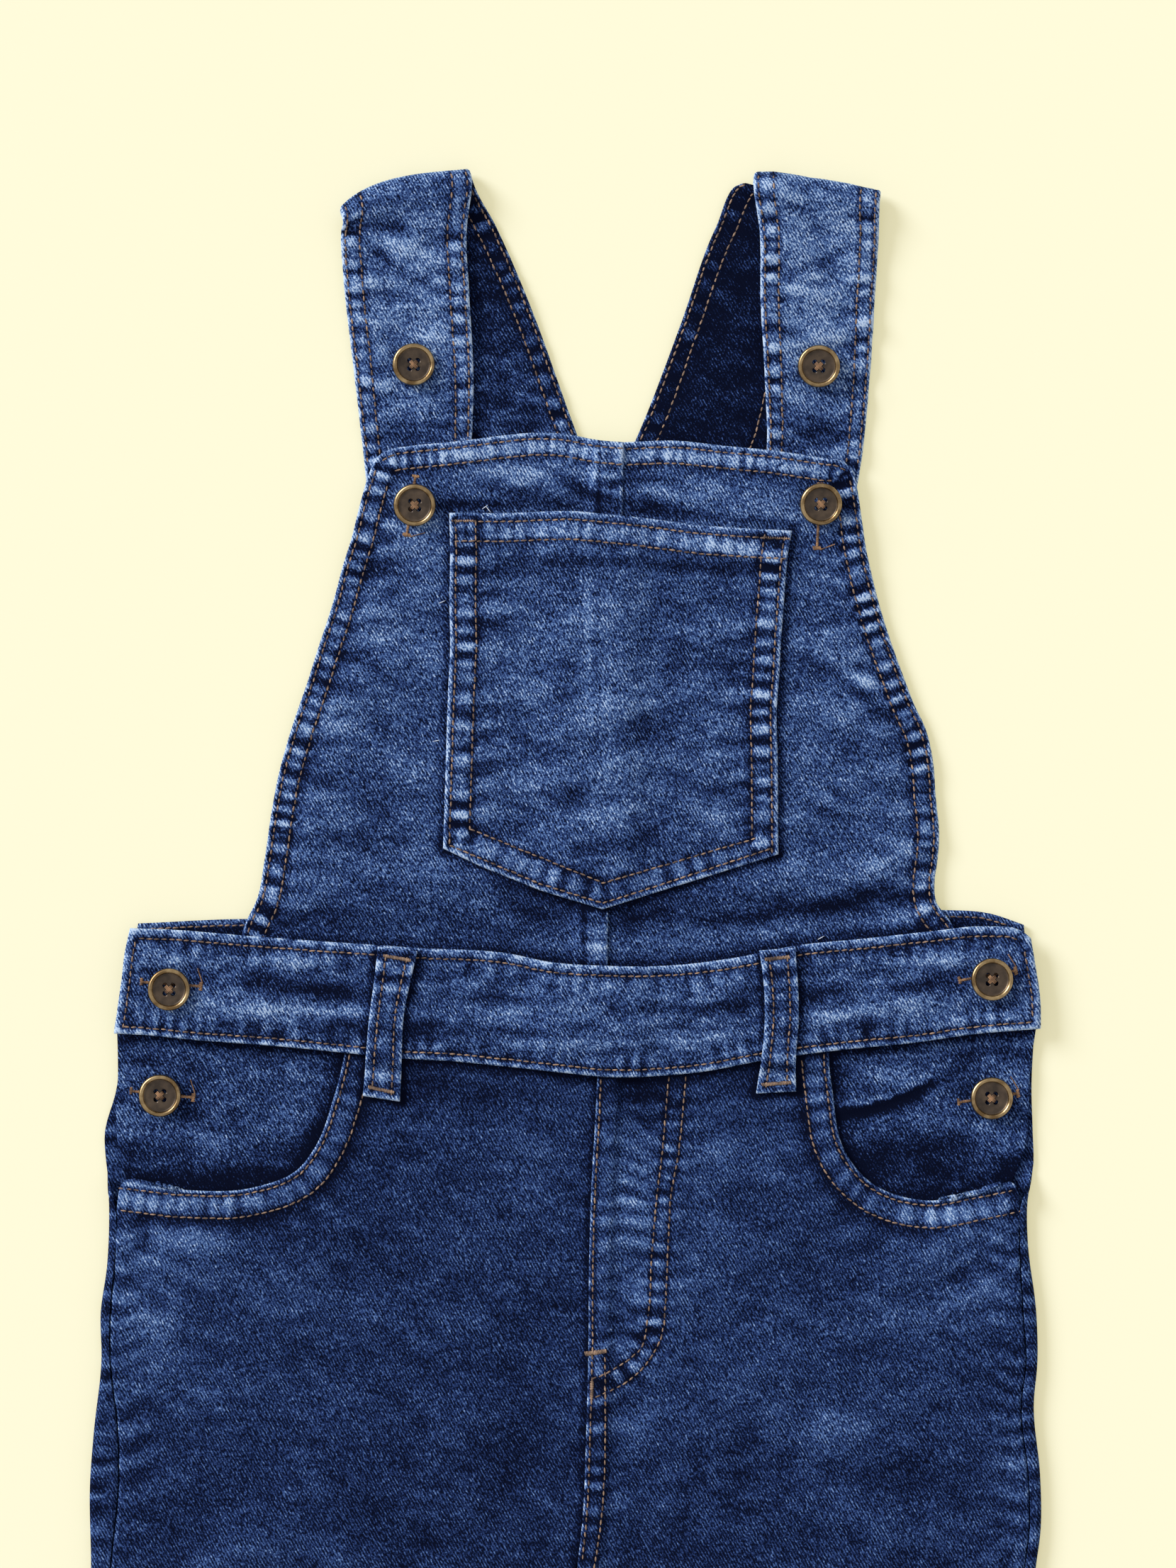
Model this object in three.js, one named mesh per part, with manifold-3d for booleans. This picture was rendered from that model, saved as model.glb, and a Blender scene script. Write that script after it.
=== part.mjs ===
// Kids' denim dungarees, laid flat on their back with the front showing.
// Millimetres, +Z up. +X runs to the viewer's right across the garment, +Y towards the shoulders.
// The origin is on the surface the garment lies on, in the middle of its outline.
import * as THREE from 'three';
import { mergeVertices } from 'three/addons/utils/BufferGeometryUtils.js';
import Module from 'manifold-3d';

const wasm = await Module();
wasm.setup();

// Cloth thicknesses
const DENIM = 1.2; // one layer of stretch denim with its nap
const STRAP = 2.0; // straps are two layers, faced with themselves
const BAND = 2.1; // waistbands are folded double
const GAP = 0.3; // left between pieces that are sewn together or lie on each other

// Heights of the layers, measured to their outer faces
const ROLL = 2.2; // radius of the side fold, where the back leg wraps round to the front
const LEG_TOP = 2 * ROLL; // front legs lie on the back legs and the pocket facings
const FACING_TOP = LEG_TOP - DENIM - 0.4; // pocket facings, 0.4 under the front legs
const BIB_TOP = 4.2; // front bib, where nothing but the back bib is under it
const BAND_TOP = LEG_TOP + GAP + BAND; // front waistband, over the tops of the legs

// Sewn edges
const HEM_DEPTH = 7.5; // bib and pocket edges are turned in this far
const HEM_RISE = 0.6; // and stand this much prouder
const LEG_HEM = { depth: 20, rise: 0.8 };
const LAP = { width: 6, rise: 1.6 }; // the right side laps over the left at the fly and crotch seam
const BIB_LAP = { width: 7.5, rise: 1.5 }; // the left half of the bib laps over the right

// Where things end
const SHOULDER = 520; // top of the straps
const HEM = -520; // bottom of the legs
const CROTCH = { x: 2, y: 14 };

// How finely the sections' curves are measured, between each two rows of a table
const CURVE_STEPS = 12;
// Where the step of a turned edge starts, as a share of the turning's depth
const STEP_START = 0.86;

const clamp01 = (v) => Math.min(1, Math.max(0, v));
const ramp = (from, to, v) => THREE.MathUtils.smoothstep((v - from) / (to - from), 0, 1);
const hill = (distance, width) => Math.exp(-((distance / width) ** 2));

// Two edges of a panel, given as a short table of sections. A smooth curve runs through each edge's points,
// and sections are spaced by the length of cloth between them.
function sections(rows) {
  const edge = (end) => new THREE.CatmullRomCurve3(rows.map((row) => {
    const [x, y, z] = row[end];
    return new THREE.Vector3(x, y, z ?? 0);
  }));
  const from = edge('from');
  const to = edge('to');
  const steps = CURVE_STEPS * (rows.length - 1);
  const lengths = [0];
  for (let i = 1; i <= steps; i++) {
    const gone = from.getPoint(i / steps).distanceTo(from.getPoint((i - 1) / steps));
    lengths.push(lengths[i - 1] + gone + to.getPoint(i / steps).distanceTo(to.getPoint((i - 1) / steps)));
  }
  // The curves' own parameter for a share t of the panel's length
  const parameter = (t) => {
    const wanted = clamp01(t) * lengths[steps];
    let i = 1;
    while (i < steps && lengths[i] < wanted) i++;
    return (i - 1 + (wanted - lengths[i - 1]) / (lengths[i] - lengths[i - 1])) / steps;
  };
  const column = (name, u) => {
    const place = u * (rows.length - 1);
    const i = Math.min(rows.length - 2, Math.floor(place));
    return THREE.MathUtils.lerp(rows[i][name] ?? 0, rows[i + 1][name] ?? 0, place - i);
  };
  // Stations that fall on every row, with the same number of spans between each two
  const byRow = (spans) => {
    const list = [];
    for (let i = 0; i <= spans * (rows.length - 1); i++) {
      const step = (i * CURVE_STEPS) / spans;
      const low = Math.floor(step);
      const high = Math.min(steps, low + 1);
      list.push(THREE.MathUtils.lerp(lengths[low], lengths[high], step - low) / lengths[steps]);
    }
    return list;
  };
  return { from, to, parameter, column, byRow };
}

// A point of a panel, s across from its first edge to its second and t along. A section can bow (a round
// arc) or come to a point, both measured along +Y at its middle.
function onPanel(panel, s, t) {
  const u = panel.parameter(t);
  const point = panel.from.getPoint(u).lerp(panel.to.getPoint(u), s);
  point.y += panel.column('bow', u) * 4 * s * (1 - s);
  point.y += panel.column('point', u) * (1 - Math.abs(2 * s - 1));
  return point;
}

// Stations across a panel that keep a line at each turned edge, so that its step shows
function stations(count, first, last) {
  const inner = count - (first ? 2 : 0) - (last ? 2 : 0);
  const list = first ? [0, first * STEP_START] : [];
  for (let i = 0; i <= inner; i++) list.push(THREE.MathUtils.lerp(first, 1 - last, i / inner));
  if (last) list.push(1 - last * STEP_START, 1);
  return list;
}
const even = (count) => stations(count, 0, 0);

// A closed wall of cloth between an outer and an inner face, each a function of the stations across and along
function wall(name, across, along, outer, inner, material) {
  const geometry = new THREE.BoxGeometry(1, 1, 1, across.length - 1, along.length - 1, 1);
  const position = geometry.attributes.position;
  const corner = new THREE.Vector3();
  for (let i = 0; i < position.count; i++) {
    corner.fromBufferAttribute(position, i);
    const s = across[Math.round((corner.x + 0.5) * (across.length - 1))];
    const t = along[Math.round((0.5 - corner.y) * (along.length - 1))];
    const placed = (corner.z > 0 ? outer : inner)(s, t);
    position.setXYZ(i, placed.x, placed.y, placed.z);
  }
  return piece(name, geometry, material);
}

// One named mesh with its vertices shared and its faces pointing out
function piece(name, geometry, material) {
  geometry.deleteAttribute('normal');
  geometry.deleteAttribute('uv');
  const closed = mergeVertices(geometry, 1e-4);
  const index = closed.index;
  const corner = (i) => new THREE.Vector3().fromBufferAttribute(closed.attributes.position, index.getX(i));
  let volume = 0;
  for (let i = 0; i < index.count; i += 3) {
    volume += corner(i).dot(corner(i + 1).cross(corner(i + 2))) / 6;
  }
  if (volume < 0) {
    for (let i = 0; i < index.count; i += 3) {
      const second = index.getX(i + 1);
      index.setX(i + 1, index.getX(i + 2));
      index.setX(i + 2, second);
    }
  }
  closed.computeVertexNormals();
  const mesh = new THREE.Mesh(closed, material);
  mesh.name = name;
  return mesh;
}

// A wall whose outer face has a height over the surface and whose inner face lies straight under it
function flatWall(name, across, along, panel, height, thickness, material) {
  const outer = (s, t) => {
    const point = onPanel(panel, s, t);
    return point.setZ(height(point.x, point.y, s, t));
  };
  const inner = (s, t) => {
    const point = outer(s, t);
    return point.setZ(point.z - thickness);
  };
  return wall(name, across, along, outer, inner, material);
}

// Materials
const denim = new THREE.MeshStandardMaterial({ color: 0x3d5486, roughness: 0.92, metalness: 0 });
const innerDenim = new THREE.MeshStandardMaterial({ color: 0x1c2847, roughness: 0.95, metalness: 0 });
const antiqueBrass = new THREE.MeshStandardMaterial({ color: 0x6d5a3c, roughness: 0.38, metalness: 0.85 });

// Soft folds of the front. Each is a ridge (or, with a negative rise, a trough) along a line through x, y.
const FOLDS = [
  { x: -40, y: 268, turn: 8, length: 48, width: 7, rise: 1.1 },
  { x: 62, y: 266, turn: 14, length: 44, width: 6, rise: 1.3 },
  { x: 108, y: 272, turn: 24, length: 26, width: 6, rise: 1.4 },
  { x: -86, y: 330, turn: 32, length: 30, width: 8, rise: 0.7 },
  { x: 103, y: 322, turn: -34, length: 30, width: 7, rise: 0.8 },
  { x: -14, y: 411, turn: -14, length: 30, width: 5, rise: 0.8 },
  { x: 48, y: 404, turn: -12, length: 34, width: 5, rise: 0.8 },
  { x: 14, y: 330, turn: 90, length: 40, width: 10, rise: 0.5 },
  { x: -132, y: 142, turn: -38, length: 26, width: 7, rise: 1.0 },
  { x: 134, y: 140, turn: 34, length: 30, width: 7, rise: 1.1 },
  { x: 24, y: 150, turn: 2, length: 18, width: 5, rise: 0.7 },
  { x: 26, y: 120, turn: -4, length: 18, width: 5, rise: 0.6 },
  { x: -60, y: 60, turn: 26, length: 60, width: 16, rise: 1.2 },
  { x: 82, y: 88, turn: -24, length: 56, width: 14, rise: 1.2 },
  { x: -118, y: 20, turn: 62, length: 46, width: 12, rise: 1.1 },
  { x: 124, y: 18, turn: -58, length: 48, width: 12, rise: 1.2 },
  { x: -84, y: -150, turn: 18, length: 44, width: 12, rise: 1.2 },
  { x: 92, y: -168, turn: -16, length: 44, width: 12, rise: 1.2 },
  { x: -96, y: -262, turn: -10, length: 40, width: 10, rise: 1.6 },
  { x: 98, y: -250, turn: 12, length: 42, width: 10, rise: 1.6 },
  { x: -92, y: -290, turn: 8, length: 34, width: 9, rise: 1.2 },
  { x: 102, y: -284, turn: -9, length: 34, width: 9, rise: 1.3 },
  { x: -98, y: -440, turn: 14, length: 34, width: 10, rise: 1.1 },
  { x: 96, y: -452, turn: -12, length: 34, width: 10, rise: 1.1 },
];

function folds(x, y) {
  let rise = 0;
  for (const fold of FOLDS) {
    const turn = THREE.MathUtils.degToRad(fold.turn);
    const along = (x - fold.x) * Math.cos(turn) + (y - fold.y) * Math.sin(turn);
    const across = (y - fold.y) * Math.cos(turn) - (x - fold.x) * Math.sin(turn);
    rise += fold.rise * hill(along, fold.length) * hill(across, fold.width);
  }
  return rise;
}

// Front bib. Each row gives the two side edges and the centre seam at one height of the panel.
const BIB_ROWS = [
  { left: [-64.5, 419.8], seam: [20.6, 423.3], right: [98.9, 416], bow: 4.4 },
  { left: [-68.5, 415], seam: [20.5, 417], right: [102, 411], bow: 3.6 },
  { left: [-72.5, 401], seam: [20.2, 399], right: [103.8, 402], bow: 1.5 },
  { left: [-76.9, 389.3], seam: [19.8, 388], right: [105.6, 389.3] },
  { left: [-85, 359.3], seam: [18.8, 359.3], right: [112.6, 359.3] },
  { left: [-94.6, 329.3], seam: [17.6, 329.3], right: [123.4, 329.3] },
  { left: [-103.1, 299.3], seam: [16.3, 299.3], right: [130.6, 299.3] },
  { left: [-108.1, 269.3], seam: [15.3, 269.3], right: [130.4, 269.3] },
  { left: [-113.4, 252.3], seam: [15, 250], right: [136.9, 252.8], bow: -1 },
  { left: [-116, 238], seam: [14.9, 229], right: [139, 238.5], bow: -2 },
];

const BIB_SIDES = sections(BIB_ROWS.map((row) => ({ from: row.left, to: row.right })));
// The bib lifts over the two strap ends under its top, and sags at its sides lower down
const STRAP_ENDS = { left: -38, right: 72, width: 24, rise: 1.8, bottom: 365, top: 410 };
const SAG = { depth: 1.5, reach: 18, bottom: [256, 272], top: [356, 388] };
const BIB_FOOT = [236, 252]; // folds die out between these levels, at the waistband

function bibHeight(x, y) {
  // The rows are nearly level, so the edges at this height are found by halving
  let [low, high] = [0, 1];
  for (let i = 0; i < 14; i++) {
    const middle = (low + high) / 2;
    if (BIB_SIDES.from.getPoint(middle).y > y) low = middle;
    else high = middle;
  }
  const inset = Math.min(x - BIB_SIDES.from.getPoint(low).x, BIB_SIDES.to.getPoint(low).x - x);
  const { left, right, width, rise, bottom, top } = STRAP_ENDS;
  const lift = rise * ramp(bottom, top, y) * (hill(x - left, width) + hill(x - right, width));
  const atLevel = (1 - ramp(...SAG.top, y)) * ramp(...SAG.bottom, y);
  const sag = SAG.depth * (1 - ramp(0, SAG.reach, inset)) * atLevel;
  return BIB_TOP + lift - sag + folds(x, y) * ramp(...BIB_FOOT, y);
}

const SIDE_HEM = HEM_DEPTH / 90; // as a share of a bib half's width
const TOP_HEM = HEM_DEPTH / 190; // as a share of its length
const HEMS_END = [251, 262]; // the side hems flatten between these levels, at the waistband
const LAP_SHARE = [0.84, 0.92]; // where the left half rises over the right one
const UNDERLAP_SHARE = [0.12, 0.2]; // where the right half's hem starts, clear of the left half
const hemStep = (share, edge) => HEM_RISE * (1 - ramp(edge * STEP_START, edge, share));

function bibHalf(name, side) {
  const isLeft = side === 'left';
  const panel = sections(BIB_ROWS.map((row) => ({
    from: isLeft ? row.left : [row.seam[0] - BIB_LAP.width, row.seam[1]],
    to: isLeft ? row.seam : row.right,
    bow: (row.bow ?? 0) * (isLeft ? 1 : 0.5),
  })));
  const height = (x, y, s, t) => {
    const inward = isLeft ? s : 1 - s;
    const hem = Math.max(hemStep(inward, SIDE_HEM), hemStep(t, TOP_HEM)) * ramp(...HEMS_END, y);
    if (isLeft) return bibHeight(x, y) + hem + BIB_LAP.rise * ramp(...LAP_SHARE, s);
    return bibHeight(x, y) + hem * ramp(...UNDERLAP_SHARE, s);
  };
  const lapped = [...stations(9, SIDE_HEM, 0).slice(0, -2), ...LAP_SHARE, 1];
  const across = isLeft ? lapped : stations(10, 0, SIDE_HEM);
  return flatWall(name, across, stations(18, TOP_HEM, 0), panel, height, DENIM, denim);
}

// Bib pocket, five-sided, lying on the bib over its centre seam
const POCKET_ROWS = [
  { from: [-40.8, 398.2], to: [79.8, 392.1], bow: 2.7 },
  { from: [-40.6, 372], to: [77.6, 370.4], bow: 1.4 },
  { from: [-41, 341], to: [75.6, 341] },
  { from: [-42, 310], to: [74.8, 309], point: -9 },
  { from: [-43, 280], to: [75.1, 278], point: -20.5 },
];

const SEAM_BUMP = { left: [-12, 1], right: [20, 32] }; // where the pocket rises over the bib's centre seam
const POCKET_HEMS = { side: 0.06, top: 0.07 }; // as shares of its width and length
const SIDE_RISE = 0.6; // its side hems rise by this share of a full hem
const POCKET_CLEAR = 0.15; // more than the usual gap, for the bib's own hem and lap

function pocketHeight(x, y, s, t) {
  const onSeam = BIB_LAP.rise * ramp(...SEAM_BUMP.left, x) * (1 - ramp(...SEAM_BUMP.right, x));
  const { side, top } = POCKET_HEMS;
  const topHem = 1 - ramp(side, top, t);
  const sideHem = SIDE_RISE * (1 - ramp(side * STEP_START, side, Math.min(s, 1 - s)));
  return bibHeight(x, y) + GAP + DENIM + onSeam + HEM_RISE * Math.max(topHem, sideHem) + POCKET_CLEAR;
}

function bibPocket() {
  const { side, top } = POCKET_HEMS;
  return flatWall('bib_pocket', stations(14, side, side), stations(11, top, 0), sections(POCKET_ROWS),
    pocketHeight, DENIM, denim);
}

// Straps. Each comes up from under the bib, folds over at the shoulder and runs down to the back bib.
// The rows hold the middle of the cloth at both edges: the front run, the fold's line, and the back run.
const FOLD_RADIUS = 2.4;
const STRAPS = {
  left: {
    front: [
      { from: [-66, 381.8, 1.5], to: [-34, 381.8, 1.8] },
      { from: [-69.5, 402, 1.7], to: [-33.4, 404, 3] },
      { from: [-71.1, 417, 1.8], to: [-33.1, 421, 3.7] },
      { from: [-74.5, 446.5, 2], to: [-32.4, 446.5, 4.3] },
      { from: [-77.9, 476.3, 2.8], to: [-33.9, 476.3, 4.9] },
      { from: [-79.2, 495, 4], to: [-34.8, 498, 5.4] },
    ],
    fold: { from: [-79.6, 505.5], to: [-34, SHOULDER] },
    back: [
      { from: [-67.5, 484, 1], to: [-24.6, 500, 1] },
      { from: [-50.6, 454.2, 1], to: [-11.5, 469.5, 1] },
      { from: [-39.5, 424, 1], to: [2, 432, 1] },
      { from: [-29.5, 400.8, 1], to: [13.7, 400.8, 1] },
    ],
  },
  right: {
    front: [
      { from: [68.5, 381.8, 1.8], to: [98, 381.8, 1.5] },
      { from: [70, 404, 3], to: [102, 402, 1.7] },
      { from: [71.1, 421, 3.7], to: [104.6, 417, 1.8] },
      { from: [70.4, 446.5, 4.3], to: [107.6, 446.5, 2] },
      { from: [68.9, 473, 4.9], to: [109.2, 473, 2.8] },
      { from: [68.5, 498, 5.4], to: [110.6, 496, 4] },
    ],
    fold: { from: [66.8, 518.6], to: [111.4, 512.5] },
    back: [
      { from: [55, 499, 1], to: [95, 484, 1] },
      { from: [40.5, 464.5, 1], to: [79.5, 449, 1] },
      { from: [27.5, 430.5, 1], to: [72, 419, 1] },
      { from: [14.3, 400.8, 1], to: [60, 400.8, 1] },
    ],
  },
};

// Sections of a fold: the cloth turns half round a line that lies just inside the outermost edge
const FOLD_TURNS = [80, 40, 0, -45, -90]; // degrees, from the upper face round to the lower one

function foldRows(fold) {
  const from = new THREE.Vector3(...fold.from, 0);
  const to = new THREE.Vector3(...fold.to, 0);
  const outward = new THREE.Vector3(0, 0, 1).cross(to.clone().sub(from)).normalize();
  const centre = FOLD_RADIUS + STRAP / 2;
  const row = (out, z) => ({
    from: from.clone().addScaledVector(outward, out).setZ(z).toArray(),
    to: to.clone().addScaledVector(outward, out).setZ(z).toArray(),
  });
  const turn = FOLD_TURNS.map((degrees) => {
    const angle = THREE.MathUtils.degToRad(degrees);
    return row(FOLD_RADIUS * Math.cos(angle) - centre, STRAP / 2 + FOLD_RADIUS * (1 + Math.sin(angle)));
  });
  return [...turn, row(-centre - STRAP, STRAP / 2)];
}

function strap(name, { front, fold, back }) {
  const panel = sections([...front, ...foldRows(fold), ...back]);
  const nearby = 0.002; // share of the strap's length over which its direction is taken
  const face = (side) => (s, t) => {
    const along = onPanel(panel, s, Math.min(1, t + nearby)).sub(onPanel(panel, s, Math.max(0, t - nearby)));
    const across = onPanel(panel, 1, t).sub(onPanel(panel, 0, t));
    const normal = across.cross(along).normalize();
    return onPanel(panel, s, t).addScaledVector(normal, (side * STRAP) / 2);
  };
  return wall(name, even(5), panel.byRow(2), face(1), face(-1), innerDenim);
}

// Front waistband: its upper and lower edges, from the left end to the right one
const BAND_ROWS = [
  { from: [-159.1, 215], to: [-153.3, 252] },
  { from: [-143, 214], to: [-139.6, 251.5] },
  { from: [-114, 211.5], to: [-112.4, 249.3] },
  { from: [-66, 207], to: [-66, 246] },
  { from: [-20, 202.6], to: [-20, 242.3] },
  { from: [14, 199.5], to: [14, 238.8] },
  { from: [50, 201.6], to: [50, 240.6] },
  { from: [90, 208], to: [90, 246.8] },
  { from: [128.4, 212.3], to: [128.4, 250.8] },
  { from: [150, 215], to: [148, 252.6] },
  { from: [167.6, 216.5], to: [162.5, 251] },
];
// Ripples that run along the band, each a soft ridge
const RIPPLES = [
  { x: -105, y: 226, length: 34, width: 5, rise: 0.8 },
  { x: -12, y: 215, length: 46, width: 4.5, rise: 0.9 },
  { x: 44, y: 226, length: 30, width: 5, rise: 0.7 },
  { x: 112, y: 225, length: 26, width: 5, rise: 0.8 },
];

// The band lifts over the laps of the bib and the fly
const BAND_BUMP = { left: [-16, -3], right: [23, 36], rise: LAP.rise + 0.1 };

function bandHeight(x, y) {
  let height = BAND_TOP;
  for (const ripple of RIPPLES) {
    height += ripple.rise * hill(x - ripple.x, ripple.length) * hill(y - ripple.y, ripple.width);
  }
  return height + BAND_BUMP.rise * ramp(...BAND_BUMP.left, x) * (1 - ramp(...BAND_BUMP.right, x));
}

const BAND_PANEL = sections(BAND_ROWS);

function frontWaistband() {
  return flatWall('waistband_front', even(6), even(30), BAND_PANEL, bandHeight, BAND, denim);
}

// Back waistband and back bib, flat on the surface and mostly out of sight
const BACK_BAND_ROWS = [
  { from: [-156, 219], to: [-151, 253.5] },
  { from: [-113, 217.3], to: [-113, 255] },
  { from: [-50, 214.7], to: [-50, 252] },
  { from: [15, 212], to: [15, 250] },
  { from: [80, 214.8], to: [80, 253] },
  { from: [134, 217.2], to: [134, 258.6] },
  { from: [152, 218], to: [150, 257] },
  { from: [165, 218.5], to: [162, 253] },
];
const BACK_BIB_ROWS = [
  { from: [-29.5, 400.4], to: [60, 400.4] },
  { from: [-34, 370], to: [64, 370] },
  { from: [-50, 320], to: [80, 320] },
  { from: [-72, 280], to: [102, 281] },
  { from: [-92, 255.1], to: [120, 258.2], bow: -5.2 },
];

function backWaistband() {
  return flatWall('waistband_back', even(3), even(14), sections(BACK_BAND_ROWS), () => BAND, BAND, denim);
}

function backBib() {
  return flatWall('bib_back', even(6), even(8), sections(BACK_BIB_ROWS), () => DENIM, DENIM, innerDenim);
}

// Side of one leg: the outermost edge, how far in the side seam lies on the front, and how far the back has
// rolled over (0 flat at the side opening, 1 turned right over to the front)
const SIDES = {
  left: [
    { edge: [-156.5, 217.9], seam: 2, roll: 0 },
    { edge: [-158.5, 194], seam: 2, roll: 0 },
    { edge: [-162.4, 180], seam: 2, roll: 0 },
    { edge: [-161.6, 165], seam: 2, roll: 0 },
    { edge: [-161.3, 159], seam: 2.2, roll: 0.4 },
    { edge: [-161.2, 153], seam: 2.6, roll: 1 },
    { edge: [-162, 132], seam: 2.6, roll: 1 },
    { edge: [-164.2, 116], seam: 3.4, roll: 1 },
    { edge: [-163.9, 100], seam: 3, roll: 1 },
    { edge: [-166.6, 74], seam: 8.4, roll: 1 },
    { edge: [-168, 55], seam: 10, roll: 1 },
    { edge: [-167.6, 28], seam: 7, roll: 1 },
    { edge: [-168, -20], seam: 6, roll: 1 },
    { edge: [-166.5, -120], seam: 6, roll: 1 },
    { edge: [-162, -250], seam: 6, roll: 1 },
    { edge: [-157, -400], seam: 6, roll: 1 },
    { edge: [-154, HEM], seam: 6, roll: 1 },
  ],
  right: [
    { edge: [165.5, 217.7], seam: 2, roll: 0 },
    { edge: [164.4, 194], seam: 2, roll: 0 },
    { edge: [164.8, 181], seam: 2, roll: 0 },
    { edge: [164.8, 165], seam: 2, roll: 0 },
    { edge: [163.8, 160], seam: 2.2, roll: 0.4 },
    { edge: [163.2, 154], seam: 2.6, roll: 1 },
    { edge: [163.4, 141], seam: 2.8, roll: 1 },
    { edge: [166.4, 116], seam: 4.6, roll: 1 },
    { edge: [166.8, 98], seam: 4, roll: 1 },
    { edge: [165.5, 84], seam: 4.4, roll: 1 },
    { edge: [167.8, 58], seam: 4.2, roll: 1 },
    { edge: [168, 40], seam: 4, roll: 1 },
    { edge: [166, 24], seam: 4, roll: 1 },
    { edge: [167.5, -40], seam: 6, roll: 1 },
    { edge: [166.5, -120], seam: 6, roll: 1 },
    { edge: [162, -250], seam: 6, roll: 1 },
    { edge: [158, -400], seam: 6, roll: 1 },
    { edge: [155, HEM], seam: 6, roll: 1 },
  ],
};
// Inner edges: the centre seam down to the crotch, then the inseam
const INSEAMS = {
  left: [[-8, -40], [-14, -120], [-22, -250], [-31, -400], [-36, HEM]],
  right: [[12, -40], [18, -120], [26, -250], [35, -400], [40, HEM]],
};
const BACK_TOP = 211.1; // top of the back legs at the centre seam
const CENTRE_SEAM = [
  [11.7, 212], [11.5, 206], [10.6, 185], [9.4, 165], [8.4, 135], [8.1, 101], [7.3, 72], [6.2, 45], [4.4, 28],
];

const at = (points, y) => {
  for (let i = 1; i < points.length; i++) {
    if (y >= points[i][1]) {
      const share = (y - points[i][1]) / (points[i - 1][1] - points[i][1]);
      return THREE.MathUtils.lerp(points[i][0], points[i - 1][0], share);
    }
  }
  return points[points.length - 1][0];
};

const NEARLY_FLAT = 0.01; // a smaller roll than this is none
const SHORTEST_TURNING = 0.4; // cloth that always runs on past the roll

// Back leg: flat underneath, its outer side rolled up and over by half a turn to meet the front's side seam
function backLeg(name, side) {
  const sign = side === 'left' ? -1 : 1;
  const rows = SIDES[side];
  const centre = CENTRE_SEAM.map(([x, y]) => [x + sign * GAP, y]);
  const inner = [...centre, [CROTCH.x + sign, CROTCH.y], ...INSEAMS[side]];
  const panel = sections(rows.map(({ edge, seam, roll }) => {
    const level = Math.min(edge[1], BACK_TOP);
    return { from: [at(inner, level), level], to: edge, seam, roll };
  }));
  const bend = Math.PI * ROLL; // length of cloth in the roll
  // The profile of the rolled strip, from where it leaves the surface: distance out and height
  const profile = (length, roll, depth) => {
    if (roll < NEARLY_FLAT) return { out: length, up: depth };
    const turn = Math.PI * roll * clamp01(length / bend);
    const radius = bend / (Math.PI * roll);
    const beyond = Math.max(0, length - bend);
    const out = radius * Math.sin(turn) + beyond * Math.cos(Math.PI * roll);
    const up = radius * (1 - Math.cos(turn)) + beyond * Math.sin(Math.PI * roll);
    return { out: out - depth * Math.sin(turn), up: up + depth * Math.cos(turn) };
  };
  // Stations: 0 to 1 on the flat part, 1 to 2 round the roll, 2 to 3 back over the front to the side seam
  const across = [0, 0.3, 0.62, 1, 1.2, 1.4, 1.6, 1.8, 2, 3];
  const face = (depth) => (s, t) => {
    const u = panel.parameter(t);
    const [seam, roll] = [panel.column('seam', u), panel.column('roll', u)];
    const reach = Math.max(...[0.25, 0.5, 0.75, 1].map((share) => profile(bend * share, roll, 0).out));
    const start = onPanel(panel, 0, t);
    const end = onPanel(panel, 1, t);
    const foot = end.x - sign * reach; // where the cloth leaves the surface
    if (s <= 1) return start.lerp(end.clone().setX(foot), s).setZ(depth);
    const length = s <= 2 ? bend * (s - 1) : bend + (s - 2) * Math.max(SHORTEST_TURNING, seam - ROLL);
    const { out, up } = profile(length, roll, depth);
    return new THREE.Vector3(foot + sign * out, end.y, up);
  };
  return wall(name, across, panel.byRow(2), face(0), face(DENIM), denim);
}

// Hip pockets: the edge of the opening, from the waistband to the side seam, and the heights on the centre
// seam that the sections of the leg fan out from
const MOUTH_FAN = [206, 198, 188, 172, 152, 130, 108, 96];
const FAN_END = { side: 155, centre: 91, level: 45 }; // below this level the sections lie straight across
const POCKET_MOUTHS = {
  left: [
    [-77, 212], [-79.5, 200], [-81.9, 191.5], [-87.9, 175.3],
    [-94.1, 167], [-110.6, 160.3], [-135.1, 159.6], [-156.4, 162],
  ],
  right: [
    [93, 212], [93.2, 203], [94.2, 195], [99.1, 172.3],
    [107, 162.8], [127, 155.8], [145, 158.6], [158.8, 161.5],
  ],
};
// Below the crotch the front comes down on to the back along the inseam
const INSEAM_FALL = { depth: LEG_TOP - 2 * DENIM - GAP, reach: 9, levels: [-10, 30] };
const FOLD_FREE = [2, 30]; // folds start this far from the inner edge and are whole this far from it
const BAND_FOOT = [206, 196]; // and start below the waistband
const LAP_FADE = 4; // how far past the lap the leg takes to come down
const UNDERLAP = { width: LAP.width - 1.5, levels: [24, 46] }; // cloth of the left side under the lap
const LAP_LEVELS = [6, 22]; // the lap begins at the crotch
const MOUTH_HEM = [0.9, 0.91]; // the pocket opening's hem, as a share of the way to its edge
const MOUTH_TOP = [201, 206]; // it flattens under the waistband

// Height of a front leg at a distance from its inner edge
function legHeight(x, y, distance) {
  const low = 1 - ramp(...INSEAM_FALL.levels, y);
  const fall = INSEAM_FALL.depth * (1 - ramp(0, INSEAM_FALL.reach, distance)) * low;
  const hem = LEG_HEM.rise * (1 - ramp(HEM + LEG_HEM.depth * 0.9, HEM + LEG_HEM.depth, y));
  return LEG_TOP - fall + folds(x, y) * ramp(...FOLD_FREE, distance) * ramp(...BAND_FOOT, y) + hem;
}

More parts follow.
